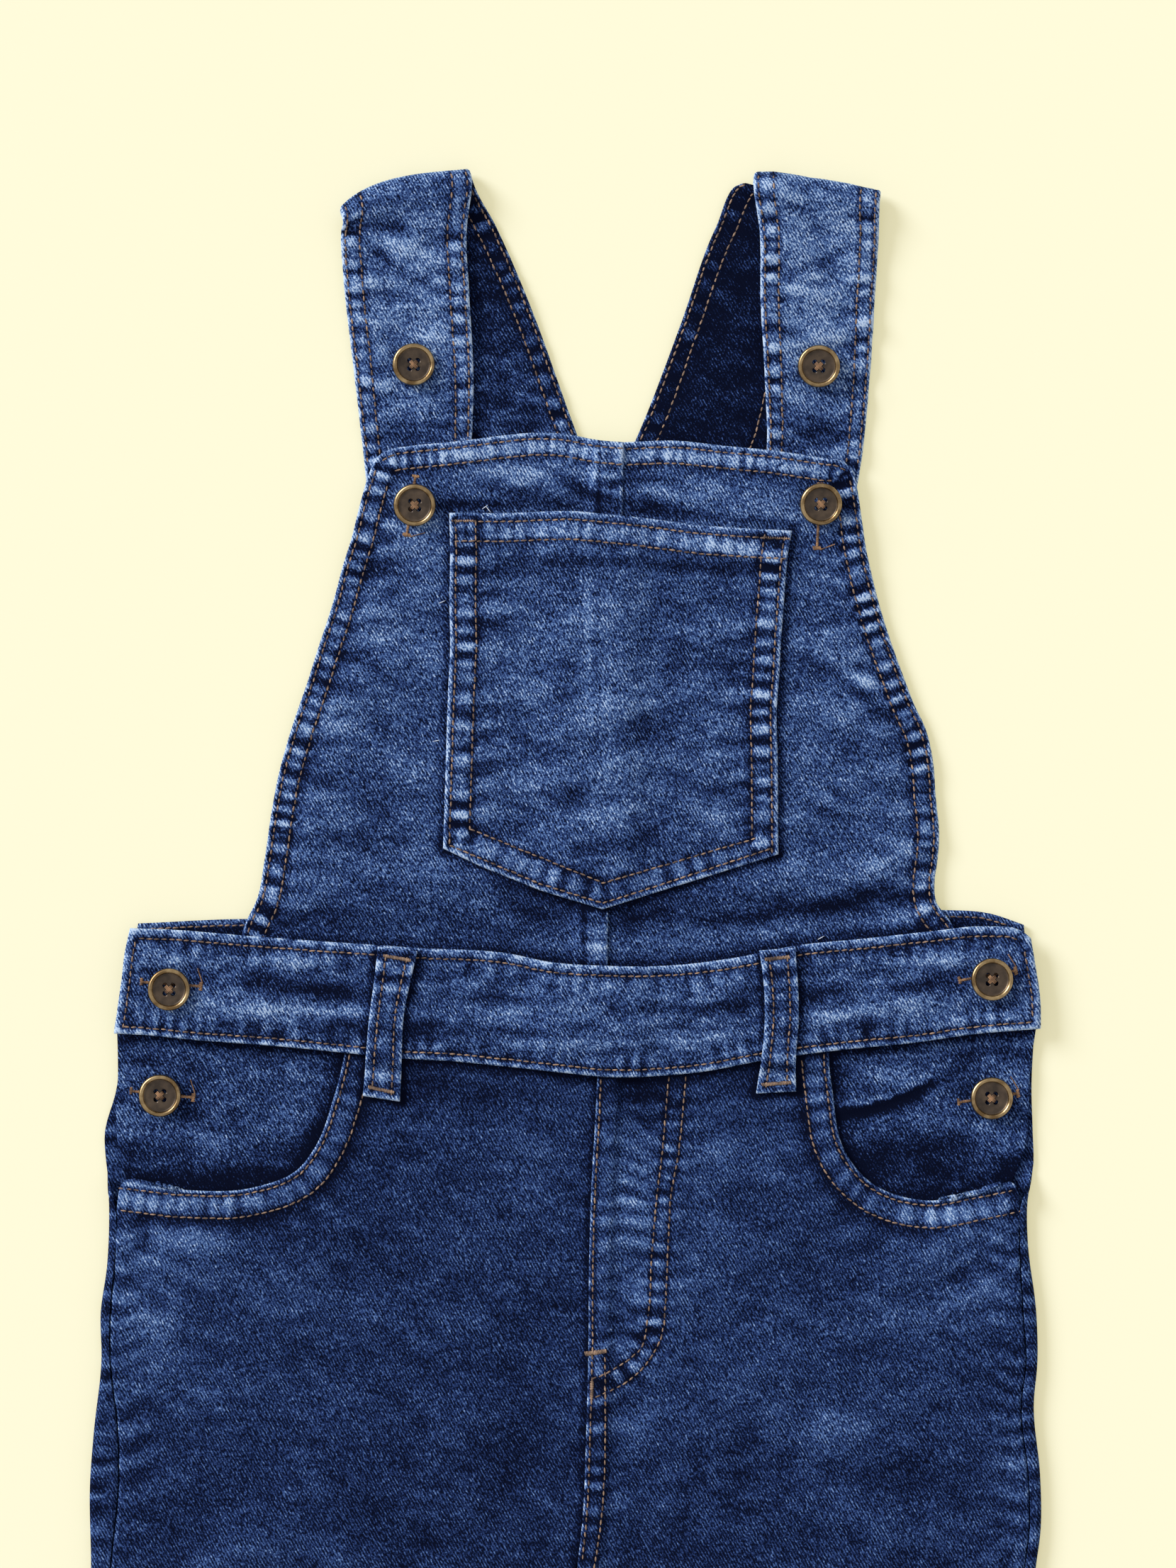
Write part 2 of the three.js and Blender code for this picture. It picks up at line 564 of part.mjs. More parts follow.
function frontLeg(name, side) {
  const sign = side === 'left' ? -1 : 1;
  // The left side runs on under the lap, except at the crotch
  const underlap = (y) => (side === 'left' ? UNDERLAP.width * ramp(...UNDERLAP.levels, y) : 0);
  const apart = (sign * GAP) / 2;
  const centre = [...CENTRE_SEAM.map(([x, y]) => [x + underlap(y) + apart, y]), [CROTCH.x + sign, CROTCH.y]];
  const edges = [...centre, ...INSEAMS[side]];
  const mouth = POCKET_MOUTHS[side];
  const seamAt = (row) => [row.edge[0] - sign * (Math.max(ROLL + 0.4, row.seam) + GAP * 1.5), row.edge[1]];
  const sideSeam = SIDES[side].filter((row) => row.roll === 1).map(seamAt);
  // Sections fan round the pocket mouth, then run level down the leg
  const mouthRows = mouth.map((to, i) => ({ from: [at(edges, MOUTH_FAN[i]), MOUTH_FAN[i]], to, mouth: 1 }));
  const { side: top, centre: start, level: end } = FAN_END;
  const legRows = sideSeam.map(([x, y]) => {
    const level = y > end ? THREE.MathUtils.mapLinear(y, top, end, start, end) : y;
    return { from: [at(edges, level), level], to: [x, y], mouth: 0 };
  });
  const panel = sections([...mouthRows, ...legRows]);
  const height = (x, y, s, t) => {
    const mouthShare = panel.column('mouth', panel.parameter(t)) * (1 - ramp(...MOUTH_TOP, y));
    const hem = HEM_RISE * ramp(...MOUTH_HEM, s) * mouthShare;
    const flap = 1 - ramp(LAP.width, LAP.width + LAP_FADE, x - at(edges, y));
    const lap = side === 'right' ? LAP.rise * flap * ramp(...LAP_LEVELS, y) : 0;
    return legHeight(x, y, Math.abs(x - at(edges, y))) + hem + lap;
  };
  // The right side has more stations on its lap, and both have a pair at the hem of the pocket opening
  const lapped = [0, 0.035, 0.07, ...stations(11, 0.16, 0).slice(2, -2)];
  const plain = side === 'right' ? lapped : even(12).slice(0, -2);
  const across = [...plain, 0.9, 0.915, 1];
  return flatWall(name, across, panel.byRow(2), panel, height, DENIM, denim);
}

// Pocket facings: the side of the front that shows inside the hip pockets and carries the side buttonholes
const FACING_ROWS = {
  left: [
    { from: [-158.4, 218], to: [-64, 213.8] },
    { from: [-158, 200], to: [-67, 198] },
    { from: [-158.6, 182], to: [-72, 178] },
    { from: [-157.4, 171], to: [-78, 164] },
    { from: [-154.6, 161], to: [-88, 154] },
    { from: [-153.6, 151], to: [-98, 146] },
  ],
  right: [
    { from: [80, 213.4], to: [166.4, 217.6] },
    { from: [81, 198], to: [164, 202] },
    { from: [84, 182], to: [163.6, 186] },
    { from: [92, 164], to: [162.4, 174] },
    { from: [100, 155], to: [158.6, 164] },
    { from: [110, 146], to: [156, 153] },
  ],
};

function facing(name, side) {
  return flatWall(name, even(5), even(6), sections(FACING_ROWS[side]), () => FACING_TOP, DENIM, denim);
}

// Belt loops: narrow straps over the waistband, sewn down above and below it
const LOOP_ROWS = {
  left: [
    { from: [-66, 245.5], to: [-52, 243.8] },
    { from: [-67, 236], to: [-53.8, 236] },
    { from: [-69.4, 219], to: [-56.8, 221] },
    { from: [-70.6, 202], to: [-57.6, 204] },
    { from: [-71.4, 192.8], to: [-58.3, 190.8] },
  ],
  right: [
    { from: [68.2, 244.2], to: [81, 245.2] },
    { from: [69.4, 234.5], to: [81.8, 235] },
    { from: [70.2, 220], to: [82.2, 220] },
    { from: [69, 206], to: [81.2, 206] },
    { from: [67.2, 193.6], to: [81.4, 194.4] },
  ],
};
const LOOP = 1.6; // folded in three and pressed
const LOOP_CLEAR = 0.3; // more than the usual gap, for the step down from the band to the leg
const LOOP_DROP = [5.5, 1.5]; // the loop comes down between these distances below the band
const AWAY = 500; // far from any inner edge

function beltLoop(name, side) {
  const bandWidth = BAND_ROWS.at(-1).from[0] - BAND_ROWS[0].from[0];
  const over = (x, y) => {
    const foot = onPanel(BAND_PANEL, 0, (x - BAND_ROWS[0].from[0]) / bandWidth).y;
    const clear = ramp(foot - LOOP_DROP[0], foot - LOOP_DROP[1], y);
    return THREE.MathUtils.lerp(legHeight(x, y, AWAY), bandHeight(x, y), clear) + GAP + LOOP + LOOP_CLEAR;
  };
  return flatWall(name, even(3), even(14), sections(LOOP_ROWS[side]), over, LOOP, denim);
}

// Metal buttons: a raised rim round a sunk face with four sewing holes
const BUTTON = { radius: 7.5, rim: 1.3, height: 2.6, dish: 1.7, hole: 0.85, holeSpread: 1.45 };
const BUTTON_CLEAR = GAP + 0.25; // over the highest thread of its buttonhole
const STRAP_FACE = 4.2; // height of the straps' upper face at their buttons
const BUTTONS = [
  { name: 'button_strap_left', x: -53.5, y: 450.6, lean: 3 },
  { name: 'button_strap_right', x: 89.4, y: 450.1, lean: -3 },
  { name: 'button_bib_left', x: -52.9, y: 401, lean: 0 },
  { name: 'button_bib_right', x: 89.9, y: 401.4, lean: 0 },
  { name: 'button_waist_left', x: -139.4, y: 230.5, lean: 0 },
  { name: 'button_waist_right', x: 150.1, y: 234, lean: 0 },
  { name: 'button_hip_left', x: -143, y: 192.8, lean: 0 },
  { name: 'button_hip_right', x: 150.4, y: 191.9, lean: 0 },
];

const toManifold = (geometry) => {
  const closed = mergeVertices(geometry.deleteAttribute('normal').deleteAttribute('uv'), 1e-4);
  return new wasm.Manifold(new wasm.Mesh({
    numProp: 3,
    vertProperties: new Float32Array(closed.attributes.position.array),
    triVerts: new Uint32Array(closed.index.array),
  }));
};

function buttonGeometry() {
  const { radius, rim, height, dish, hole, holeSpread } = BUTTON;
  const profile = [
    [0, 0], [radius * 0.72, 0], [radius, height * 0.5], [radius - rim * 0.35, height],
    [radius - rim, height * 0.92], [radius - rim - 0.5, dish], [0, dish],
  ].map(([x, y]) => new THREE.Vector2(x, y));
  let solid = toManifold(new THREE.LatheGeometry(profile, 22).rotateX(Math.PI / 2));
  for (const [i, j] of [[-1, -1], [1, -1], [-1, 1], [1, 1]]) {
    const drill = new THREE.CylinderGeometry(hole, hole, height * 3, 6).rotateX(Math.PI / 2);
    solid = solid.subtract(toManifold(drill.translate(i * holeSpread, j * holeSpread, 0)));
  }
  const { vertProperties, triVerts } = solid.getMesh();
  const geometry = new THREE.BufferGeometry();
  geometry.setAttribute('position', new THREE.BufferAttribute(vertProperties, 3));
  return geometry.setIndex(new THREE.BufferAttribute(triVerts, 1));
}

// Height of the cloth under each button
const under = {
  strap: () => STRAP_FACE,
  bib: bibHeight,
  waist: bandHeight,
  hip: () => FACING_TOP,
};

function buttons() {
  return BUTTONS.map(({ name, x, y, lean }) => {
    const mesh = piece(name, buttonGeometry(), antiqueBrass);
    const [, place] = name.split('_');
    mesh.position.set(x, y, under[place](x, y) + BUTTON_CLEAR);
    mesh.rotation.y = THREE.MathUtils.degToRad(-lean);
    return mesh;
  });
}

const dungarees = new THREE.Group();
dungarees.add(
  backLeg('leg_back_left', 'left'), backLeg('leg_back_right', 'right'), backWaistband(), backBib(),
  strap('strap_left', STRAPS.left), strap('strap_right', STRAPS.right),
  facing('facing_left', 'left'), facing('facing_right', 'right'),
  frontLeg('leg_front_left', 'left'), frontLeg('leg_front_right', 'right'),
  bibHalf('bib_left', 'left'), bibHalf('bib_right', 'right'), bibPocket(),
  frontWaistband(), beltLoop('belt_loop_left', 'left'), beltLoop('belt_loop_right', 'right'),
  ...buttons(),
);

export default dungarees;
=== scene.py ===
"""Looks for the kids' dungarees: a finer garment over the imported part, with its floor, light and camera.

Sizes are in millimetres, as the garment was measured. Meshes are made in metres.
"""

import logging
import math
from dataclasses import dataclass, field
from enum import Enum, StrEnum
from typing import Any, Callable, Sequence

import bmesh
import bpy
import numpy as np
from mathutils import Euler, Matrix, Vector


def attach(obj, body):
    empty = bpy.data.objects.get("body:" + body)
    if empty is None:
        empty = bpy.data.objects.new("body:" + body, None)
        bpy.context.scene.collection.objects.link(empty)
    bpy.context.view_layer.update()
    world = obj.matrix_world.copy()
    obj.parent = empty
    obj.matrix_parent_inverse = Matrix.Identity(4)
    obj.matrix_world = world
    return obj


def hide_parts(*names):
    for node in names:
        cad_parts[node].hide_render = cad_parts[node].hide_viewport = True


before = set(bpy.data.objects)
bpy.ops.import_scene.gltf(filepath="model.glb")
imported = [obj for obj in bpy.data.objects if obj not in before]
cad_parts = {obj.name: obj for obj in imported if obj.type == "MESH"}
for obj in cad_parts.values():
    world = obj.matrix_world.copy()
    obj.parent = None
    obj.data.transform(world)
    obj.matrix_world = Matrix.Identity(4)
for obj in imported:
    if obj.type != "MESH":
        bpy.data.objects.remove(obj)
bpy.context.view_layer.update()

logging.basicConfig(level=logging.INFO, format="%(name)s: %(message)s")
LOG = logging.getLogger("dungarees")

MM = 0.001
SEED = 7
FAR = 1e6  # a distance beyond any on the garment
THREAD_SLOT = "thread"
Array = np.ndarray
Relief = tuple[Array, Array]


# Numbers


def ramp(start: float, end: float, value: Array) -> Array:
    """A smooth step.

    Args:
        start: where it leaves 0.
        end: where it reaches 1.
        value: where it is wanted.

    Returns:
        The step, from 0 to 1.
    """
    share = np.clip((np.asarray(value, float) - start) / (end - start), 0.0, 1.0)
    return share * share * (3 - 2 * share)


def hill(distance: Array, width: float) -> Array:
    """A soft hill, 1 at distance 0."""
    return np.exp(-((np.asarray(distance, float) / width) ** 2))


def curve(points: Sequence, step: float) -> Array:
    """A smooth curve through points of any dimension.

    Args:
        points: the points, in order.
        step: the largest distance between the curve's own points.

    Returns:
        The curve's points, one row each.
    """
    knots = np.array(points, float)
    chords = np.linalg.norm(np.diff(knots, axis=0), axis=1)
    slopes = np.diff(knots, axis=0) / chords[:, None]
    tangents = np.vstack([slopes[:1], slopes[-1:]])
    if len(knots) > 2:
        before, after = chords[:-1, None], chords[1:, None]
        inner = (slopes[:-1] * after + slopes[1:] * before) / (before + after)
        tangents = np.vstack([slopes[:1], inner, slopes[-1:]])
    found = [knots[:1]]
    for i, chord in enumerate(chords):
        count = max(1, math.ceil(chord / step))
        t = (np.arange(1, count + 1) / count)[:, None]
        found.append(
            knots[i] * (2 * t**3 - 3 * t**2 + 1)
            + tangents[i] * chord * (t**3 - 2 * t**2 + t)
            + knots[i + 1] * (3 * t**2 - 2 * t**3)
            + tangents[i + 1] * chord * (t**3 - t**2)
        )
    return np.vstack(found)


def gathered(count: int, gather: float = 0.6) -> Array:
    """Stations from 0 to 1 that lie closer together towards both ends."""
    even = np.linspace(0, 1, count)
    return even - gather * np.sin(2 * np.pi * even) / (2 * np.pi)


class Unevenness:
    """Soft waves of about one length in all directions, or along one."""

    TERMS = 22
    SPREAD = (0.62, 1.45)  # the terms' wave numbers, as shares of the usual one

    def __init__(
        self, seed: int, wave: float, stretch: tuple[float, float] = (1, 1), one_way: bool = False
    ) -> None:
        """Draws the terms.

        Args:
            seed: which draw this is.
            wave: the usual length of a wave.
            stretch: how much longer the waves are along x and along y.
            one_way: whether they change along x only.
        """
        rng = np.random.default_rng(SEED * 1000 + seed)
        turn = np.zeros(self.TERMS) if one_way else rng.uniform(0, 2 * np.pi, self.TERMS)
        size = 2 * np.pi / wave * rng.uniform(*self.SPREAD, self.TERMS)
        self.x = np.cos(turn) * size / stretch[0]
        self.y = np.sin(turn) * size / stretch[1]
        self.phase = rng.uniform(0, 2 * np.pi, self.TERMS)

    def __call__(self, x: Array, y: Array | float = 0.0) -> Array:
        """The waves at points, with a spread of about 1."""
        total = np.zeros_like(np.asarray(x, float))
        for kx, ky, phase in zip(self.x, self.y, self.phase):
            total += np.cos(kx * x + ky * y + phase)
        return total * math.sqrt(2 / self.TERMS)


# Lines on the garment, seen from above


class Line:
    """A smooth or cornered line that seams, hems and edges follow."""

    STEP = 3.5

    def __init__(self, points: Sequence, smooth: bool = True, step: float = STEP) -> None:
        """Draws the line.

        Args:
            points: what it runs through.
            smooth: whether it is a curve, and not straight from point to point.
            step: the largest distance between its own points.
        """
        knots = np.array(points, float)
        if smooth:
            self.points = curve(knots, step)
        else:
            legs = [curve(knots[i : i + 2], step) for i in range(len(knots) - 1)]
            self.points = np.vstack([legs[0][:1], *[leg[1:] for leg in legs]])
        self.steps = np.diff(self.points, axis=0)
        self.chords = np.linalg.norm(self.steps, axis=1)
        self.along = np.concatenate([[0.0], np.cumsum(self.chords)])
        self.length = float(self.along[-1])

    def at(self, distance: Array) -> Array:
        """Points at distances along the line, one row each."""
        return np.stack([np.interp(distance, self.along, self.points[:, k]) for k in range(2)], axis=-1)

    def nearest(self, x: Array, y: Array, reach: float = 14.0) -> tuple[Array, Array]:
        """Distances to the line.

        Args:
            x, y: points.
            reach: points further off than this may be given as endlessly far.

        Returns:
            How far the points are from the line, and how far along it their nearest points are.
        """
        x, y = np.asarray(x, float), np.asarray(y, float)
        order = np.argsort(y, axis=None)
        sx, sy = x.ravel()[order], y.ravel()[order]
        best, along = np.full(sx.shape, FAR), np.zeros(sx.shape)
        ends = self.points[:-1] + self.steps
        low, high = np.minimum(self.points[:-1], ends) - reach, np.maximum(self.points[:-1], ends) + reach
        first, last = np.searchsorted(sy, low[:, 1]), np.searchsorted(sy, high[:, 1])
        for i in np.flatnonzero(last > first):
            px = sx[first[i] : last[i]]
            near = first[i] + np.flatnonzero((px > low[i, 0]) & (px < high[i, 0]))
            dx, dy = sx[near] - self.points[i, 0], sy[near] - self.points[i, 1]
            step, chord = self.steps[i], self.chords[i]
            share = np.clip((dx * step[0] + dy * step[1]) / chord**2, 0, 1)
            gap = np.hypot(dx - share * step[0], dy - share * step[1])
            closer = gap < best[near]
            best[near[closer]] = gap[closer]
            along[near[closer]] = self.along[i] + share[closer] * chord
        distance, place = np.empty(sx.shape), np.empty(sx.shape)
        distance[order], place[order] = best, along
        return distance.reshape(x.shape), place.reshape(x.shape)

    def beside(self, distance: float, start: float = 0.0, spare: float = 0.0) -> "Line":
        """The line moved sideways.

        Args:
            distance: how far, to the right as one walks along it.
            start: how much is left off at the start.
            spare: how much is left off at the end.

        Returns:
            The new line.
        """
        last = self.length - spare
        places = np.linspace(start, last, max(2, int((last - start) / self.STEP)))
        points = self.at(places)
        ways = np.gradient(points, axis=0)
        ways /= np.linalg.norm(ways, axis=1)[:, None]
        return Line(points + distance * np.stack([ways[:, 1], -ways[:, 0]], axis=1), smooth=False)


def patch(x: Array, y: Array, spot: "Fold | WashAndShadePatch", along: float, across: float) -> Array:
    """A soft hill round a spot.

    Args:
        x, y: points.
        spot: what gives its middle and its direction.
        along, across: its half sizes.

    Returns:
        Its height at the points, 1 in the middle.
    """
    cosine, sine = math.cos(math.radians(spot.turn)), math.sin(math.radians(spot.turn))
    u = (x - spot.x) * cosine + (y - spot.y) * sine
    v = (y - spot.y) * cosine - (x - spot.x) * sine
    return hill(u, along) * hill(v, across)


# What shapes the cloth, rubs it and paints shade on it


class Feature:
    """Something that changes a cloth's height, and its tone for rubbing and painted shade."""

    def relief(self, x: Array, y: Array) -> Relief:
        """What it adds.

        Args:
            x, y: points.

        Returns:
            A height and a tone change at each point. Above 0 is where the dye is rubbed off; below 0 is
            darker, for dye left unrubbed and for painted shade.
        """
        raise NotImplementedError


@dataclass(frozen=True)
class Fold(Feature):
    """A soft ridge along a line through a point, or a trough if its rise is below 0.

    A last value above 0 makes a ridge lighter, where it is rubbed, and a trough darker, with painted shade
    and unrubbed dye in it.
    """

    x: float
    y: float
    turn: float
    length: float
    width: float
    rise: float
    wear_and_shade: float = 0.2

    def relief(self, x: Array, y: Array) -> Relief:
        """See Feature.relief."""
        shape = patch(x, y, self, self.length, self.width)
        # a ridge is rubbed lighter; a trough gets painted shade
        return self.rise * shape, self.wear_and_shade * shape * (1 if self.rise > 0 else -1)


@dataclass(frozen=True)
class Pleat(Feature):
    """A crease that rises slowly and drops away sharply to the right of its line. Its ridge is rubbed lighter
    and a painted shadow lies in the drop.
    """

    FADE = 9  # how far in from its ends it reaches its full height
    line: Line
    rise: float
    reach: float = 8.0
    drop: float = 1.3
    wear_and_shade: float = 0.3

    def relief(self, x: Array, y: Array) -> Relief:
        """See Feature.relief."""
        gap, along = self.line.nearest(x, y, 24)
        here, way = self.line.at(along), self.line.at(np.minimum(along + 1, self.line.length))
        before = self.line.at(np.maximum(along - 1, 0))
        dx, dy = (way - before)[..., 0], (way - before)[..., 1]
        right = dy * (x - here[..., 0]) - dx * (y - here[..., 1]) > 0
        ends = ramp(0, self.FADE, along) * ramp(0, self.FADE, self.line.length - along) * 0.9 + 0.1
        ends = ends * (along > 0) * (along < self.line.length)
        shape = np.where(right, hill(gap, self.drop), hill(gap, self.reach)) * ends
        # painted shadow in the drop to the right of the line, rubbed light on the ridge
        shade = np.where(right, -2.2 * hill(gap - 1.8, 2.2), hill(gap, 2.4)) * ends
        return self.rise * shape, self.wear_and_shade * shade


@dataclass(frozen=True)
class Pucker(Feature):
    """Short uneven waves along a seam, running out into the cloth beside it."""

    line: Line
    reach: float
    fade: float
    wave: float
    rise: float
    wear_and_shade: float
    seed: int = 0
    slant: float = 0.0

    def relief(self, x: Array, y: Array) -> Relief:
        """See Feature.relief."""
        gap, along = self.line.nearest(x, y, self.reach + self.fade)
        close = 1 - ramp(self.reach, self.reach + self.fade, gap)
        waves = Unevenness(self.seed, self.wave, one_way=True)(along + self.slant * gap)
        broad = Unevenness(self.seed + 50, self.wave * 5, one_way=True)(along)
        waves = np.tanh(1.1 * waves) * (0.8 + 0.35 * np.tanh(broad)) * close
        return self.rise * waves, self.wear_and_shade * np.where(waves < 0, 1.5, 1.15) * waves


@dataclass(frozen=True)
class TurnedEdge(Feature):
    """An edge that is turned in and pressed: rounded, rubbed light, and thicker as far as it is turned in,
    with a painted shadow just past where the turned-in part ends.
    """

    line: Line
    depth: float = 7.5
    rise: float = 0.35
    wear_and_shade: float = 0.85
    rounding: float = 1.3
    drop: float = 0.6

    def relief(self, x: Array, y: Array) -> Relief:
        """See Feature.relief."""
        gap, along = self.line.nearest(x, y, self.depth + 4)
        inward = np.clip(1 - gap / self.rounding, 0, 1)
        fray = 0.75 + 0.3 * Unevenness(int(self.line.length) % 37, 7.0, one_way=True)(along)
        step = self.rise * (1 - ramp(self.depth - 0.5, self.depth + 0.8, gap))
        height = step - self.drop * (1 - np.sqrt(1 - inward**2))
        wear_and_shade = 1.3 * self.wear_and_shade * fray * hill(gap, 0.85) + 0.1 * (gap < self.depth)
        # painted shadow beyond the step where the turned-in part ends, darker the higher the step
        return height, wear_and_shade - 0.32 * self.rise / 0.35 * hill(gap - self.depth - 1.2, 1.3)


@dataclass(frozen=True)
class Groove(Feature):
    """The line that a row of stitches pulls in, darker along it for dye left unrubbed there and for painted
    shade in the groove.
    """

    line: Line
    depth: float = 0.28

    def relief(self, x: Array, y: Array) -> Relief:
        """See Feature.relief."""
        gap, _ = self.line.nearest(x, y, 3)
        # darker line: unrubbed dye and painted shade in the groove
        return -self.depth * hill(gap, 0.7), -0.95 * hill(gap, 0.85)


@dataclass(frozen=True)
class PaintedShadowOrRubLine(Feature):
    """A soft painted shadow beside something that lies on the cloth, or, with an amount above 0, a lighter
    line where the cloth is rubbed.
    """

    line: Line
    width: float
    amount: float

    def relief(self, x: Array, y: Array) -> Relief:
        """See Feature.relief."""
        gap, _ = self.line.nearest(x, y, 3 * self.width)
        return np.zeros_like(x), self.amount * hill(gap, self.width)


@dataclass(frozen=True)
class WashAndShadePatch(Feature):
    """A softly lighter or darker place: marks left by the wash, and painted shade in and beside creases,
    folds and edges.
    """

    x: float
    y: float
    wide: float
    high: float
    amount: float
    turn: float = 0.0

    def relief(self, x: Array, y: Array) -> Relief:
        """See Feature.relief."""
        return np.zeros_like(x), self.amount * patch(x, y, self, self.wide, self.high)


@dataclass(frozen=True)
class Sway(Feature):
    """Slight unevenness all over."""

    wave: float
    rise: float
    wear_and_shade: float
    seed: int
    stretch: tuple[float, float] = (1.6, 0.8)
    mask: Callable | None = None

    def relief(self, x: Array, y: Array) -> Relief:
        """See Feature.relief."""
        waves = Unevenness(self.seed, self.wave, self.stretch)(x, y)
        if self.mask is not None:
            waves = waves * self.mask(x, y)
        return self.rise * waves, self.wear_and_shade * waves


@dataclass(frozen=True)
class Step(Feature):
    """A place where the cloth lies higher, over a lap below or as a lap itself."""

    rise: Callable

    def relief(self, x: Array, y: Array) -> Relief:
        """See Feature.relief."""
        return self.rise(x, y), np.zeros_like(x)


@dataclass
class StrapInside(Feature):
    """The inner side of a strap, never washed as light as the outer one, and the rubbed fold before it."""

    fold_at: float
    tone: tuple[float, float]

    def relief(self, x: Array, y: Array) -> Relief:
        """See Feature.relief."""
        behind = y - self.fold_at
        inner = self.tone[0] * ramp(1.5, 7, behind) + self.tone[1] * ramp(30, 95, behind)
        return np.zeros_like(x), inner + 0.75 * hill(behind, 1.8)


@dataclass
class Skin:
    """A cloth's outer face: how high it lies, how worn it is and where shade is painted on it."""

    base: Callable
    features: list[Feature] = field(default_factory=list)
    tone: float = 0.0

    def __call__(self, x: Array, y: Array) -> Relief:
        """Height and wear at points. See Feature.relief."""
        x, y = np.asarray(x, float), np.asarray(y, float)
        height = np.asarray(self.base(x, y), float) + np.zeros_like(x)
        wear_and_shade = np.full(x.shape, self.tone)
        for feature in self.features:
            rise, rub = feature.relief(x, y)
            height = height + rise
            wear_and_shade = wear_and_shade + rub
        return height, wear_and_shade


# Shared measures of the garment, in millimetres


class Height(float, Enum):
    """How high the layers' outer faces lie."""

    BIB = 4.2
    LEG = 4.4
    BAND = 6.8
    FACING = 2.8
    BACK = 1.2
    BACK_BAND = 2.1


class Ply(float, Enum):
    """Thicknesses of cloth."""

    SINGLE = 1.1
    STRAP = 1.9
    BAND = 2.0
    LOOP = 1.5


class Side(StrEnum):
    """The garment's sides, as the viewer has them."""

    LEFT = "left"
    RIGHT = "right"

    @property
    def sign(self) -> int:
        """-1 on the left and 1 on the right."""
        return self.pick(-1, 1)

    def pick(self, left: Any, right: Any) -> Any:
        """What belongs to this side of two things."""
        return left if self is Side.LEFT else right


CLEAR = 0.3  # between layers that lie on each other
CENTRE_LAP = 1.6  # how much higher the fly lies than the legs
ROLL = 2.2  # radius of the back legs where they roll over to the front
SEAM_GAP = 0.4  # at least from the roll to the back's edge, and from there to the front's edge
POCKET_RISE = CLEAR + 1.2 + 0.15  # how much higher the bib pocket's face lies than the bib's
LOOP_RISE = CLEAR + 1.6 + 0.3  # how much higher a belt loop's face lies than what is under it

BIB_LEFT = [
    (-67.4, 417), (-69.6, 411.3), (-72.6, 401), (-75.4, 389.8), (-78.4, 380.3), (-82.6, 365),
    (-87.1, 351.5), (-91.4, 338), (-97.6, 319.5), (-101.1, 307), (-103.4, 295.3), (-106.4, 275.3),
    (-108.6, 262.8), (-113.4, 252.3), (-116, 238),
]
BIB_RIGHT = [
    (101.3, 413.6), (102.9, 407.5), (104.6, 396.3), (106.1, 386), (107.6, 379), (110.9, 366),
    (114.9, 353.3), (119.6, 340.3), (123.6, 330), (127.1, 322.8), (129.8, 311.3), (130.9, 297.5),
    (132, 286), (131.6, 276.8), (130.3, 266.5), (131, 260.8), (134.4, 256.3), (136.9, 252.8), (139, 238.5),
]
BIB_TOP_LEFT = [
    (-67.4, 417), (-64.4, 419.8), (-54.6, 422), (-43.6, 423), (-32.4, 424.3), (-19.6, 426), (-9.4, 426.8),
    (0.4, 426.3), (12.1, 424), (20.6, 423.3),
]
BIB_TOP_RIGHT = [
    (13.1, 423.2), (20.6, 423.3), (38.6, 423.8), (55.9, 422), (73.1, 420.3), (90.4, 417.8), (98.4, 416.4),
    (101.3, 413.6),
]
BIB_SEAM = [(20.6, 423.3), (20.1, 398.8), (18.6, 355), (16.6, 305), (15.1, 258), (14.9, 229)]
POCKET_TOP = [
    (-40.9, 398.3), (-19.6, 398.3), (-7.6, 398.8), (4.1, 398.8), (12.9, 398), (30.1, 396.3), (47.4, 394),
    (64.4, 392.8), (79.9, 392),
]
POCKET_RIGHT = [
    (79.9, 392), (78.4, 383.3), (77.4, 370.5), (76.1, 353.3), (75.4, 340.3), (74.6, 330), (74.9, 311.3),
    (75.1, 278),
]
POCKET_LEFT = [
    (-40.9, 398.3), (-40.6, 383.5), (-40.9, 367.5), (-40.6, 351.5), (-41.4, 334.3), (-41.9, 318.5),
    (-42.4, 302.8), (-43.1, 280),
]
POCKET_BOTTOM = [
    (-43.1, 280), (-30.1, 273.8), (-9.1, 265.3), (13.1, 258.6), (32.9, 264.8), (48.1, 269.5), (75.1, 278),
]
BAND_TOP = [
    (-153.4, 252), (-139.6, 251.5), (-112.4, 249.3), (-85.1, 247.3), (-66.1, 246), (-52.4, 245),
    (-19.6, 243), (-6, 240.2), (13.9, 238.8), (36.6, 238.8), (59.4, 241.5), (82.4, 246), (105.4, 248.3),
    (128.4, 250.8), (147.6, 252.6), (160.9, 251), (164.1, 248.5),
]
BAND_BOTTOM = [
    (-159.1, 214.8), (-148.6, 214.3), (-130.6, 212.5), (-103.4, 210.5), (-80.6, 208.3), (-57.9, 206),
    (-39.4, 205), (-19.6, 203), (0.1, 201), (13.9, 199.6), (29.9, 199.7), (49.6, 201.5), (67.9, 205),
    (83.1, 207.3), (102.1, 209.5), (122.9, 211.5), (143.6, 214.5), (167.6, 216.5),
]
BAND_LEFT = [(-153.4, 252), (-155.3, 243.3), (-156.2, 235.3), (-157.9, 223.3), (-159.1, 214.8)]
BAND_RIGHT = [(164.1, 248.5), (165.6, 239.3), (167.4, 227), (167.6, 216.5)]
MOUTH_LEFT = [
    (-77, 212), (-79.5, 200), (-81.9, 191.5), (-87.9, 175.3), (-94.1, 167), (-110.6, 160.3),
    (-135.1, 159.6), (-156.4, 162),
]
MOUTH_RIGHT = [
    (93, 212), (93.2, 203), (94.2, 195), (99.1, 172.3), (107, 162.8), (127, 155.8), (145, 158.6),
    (158.8, 161.5),
]
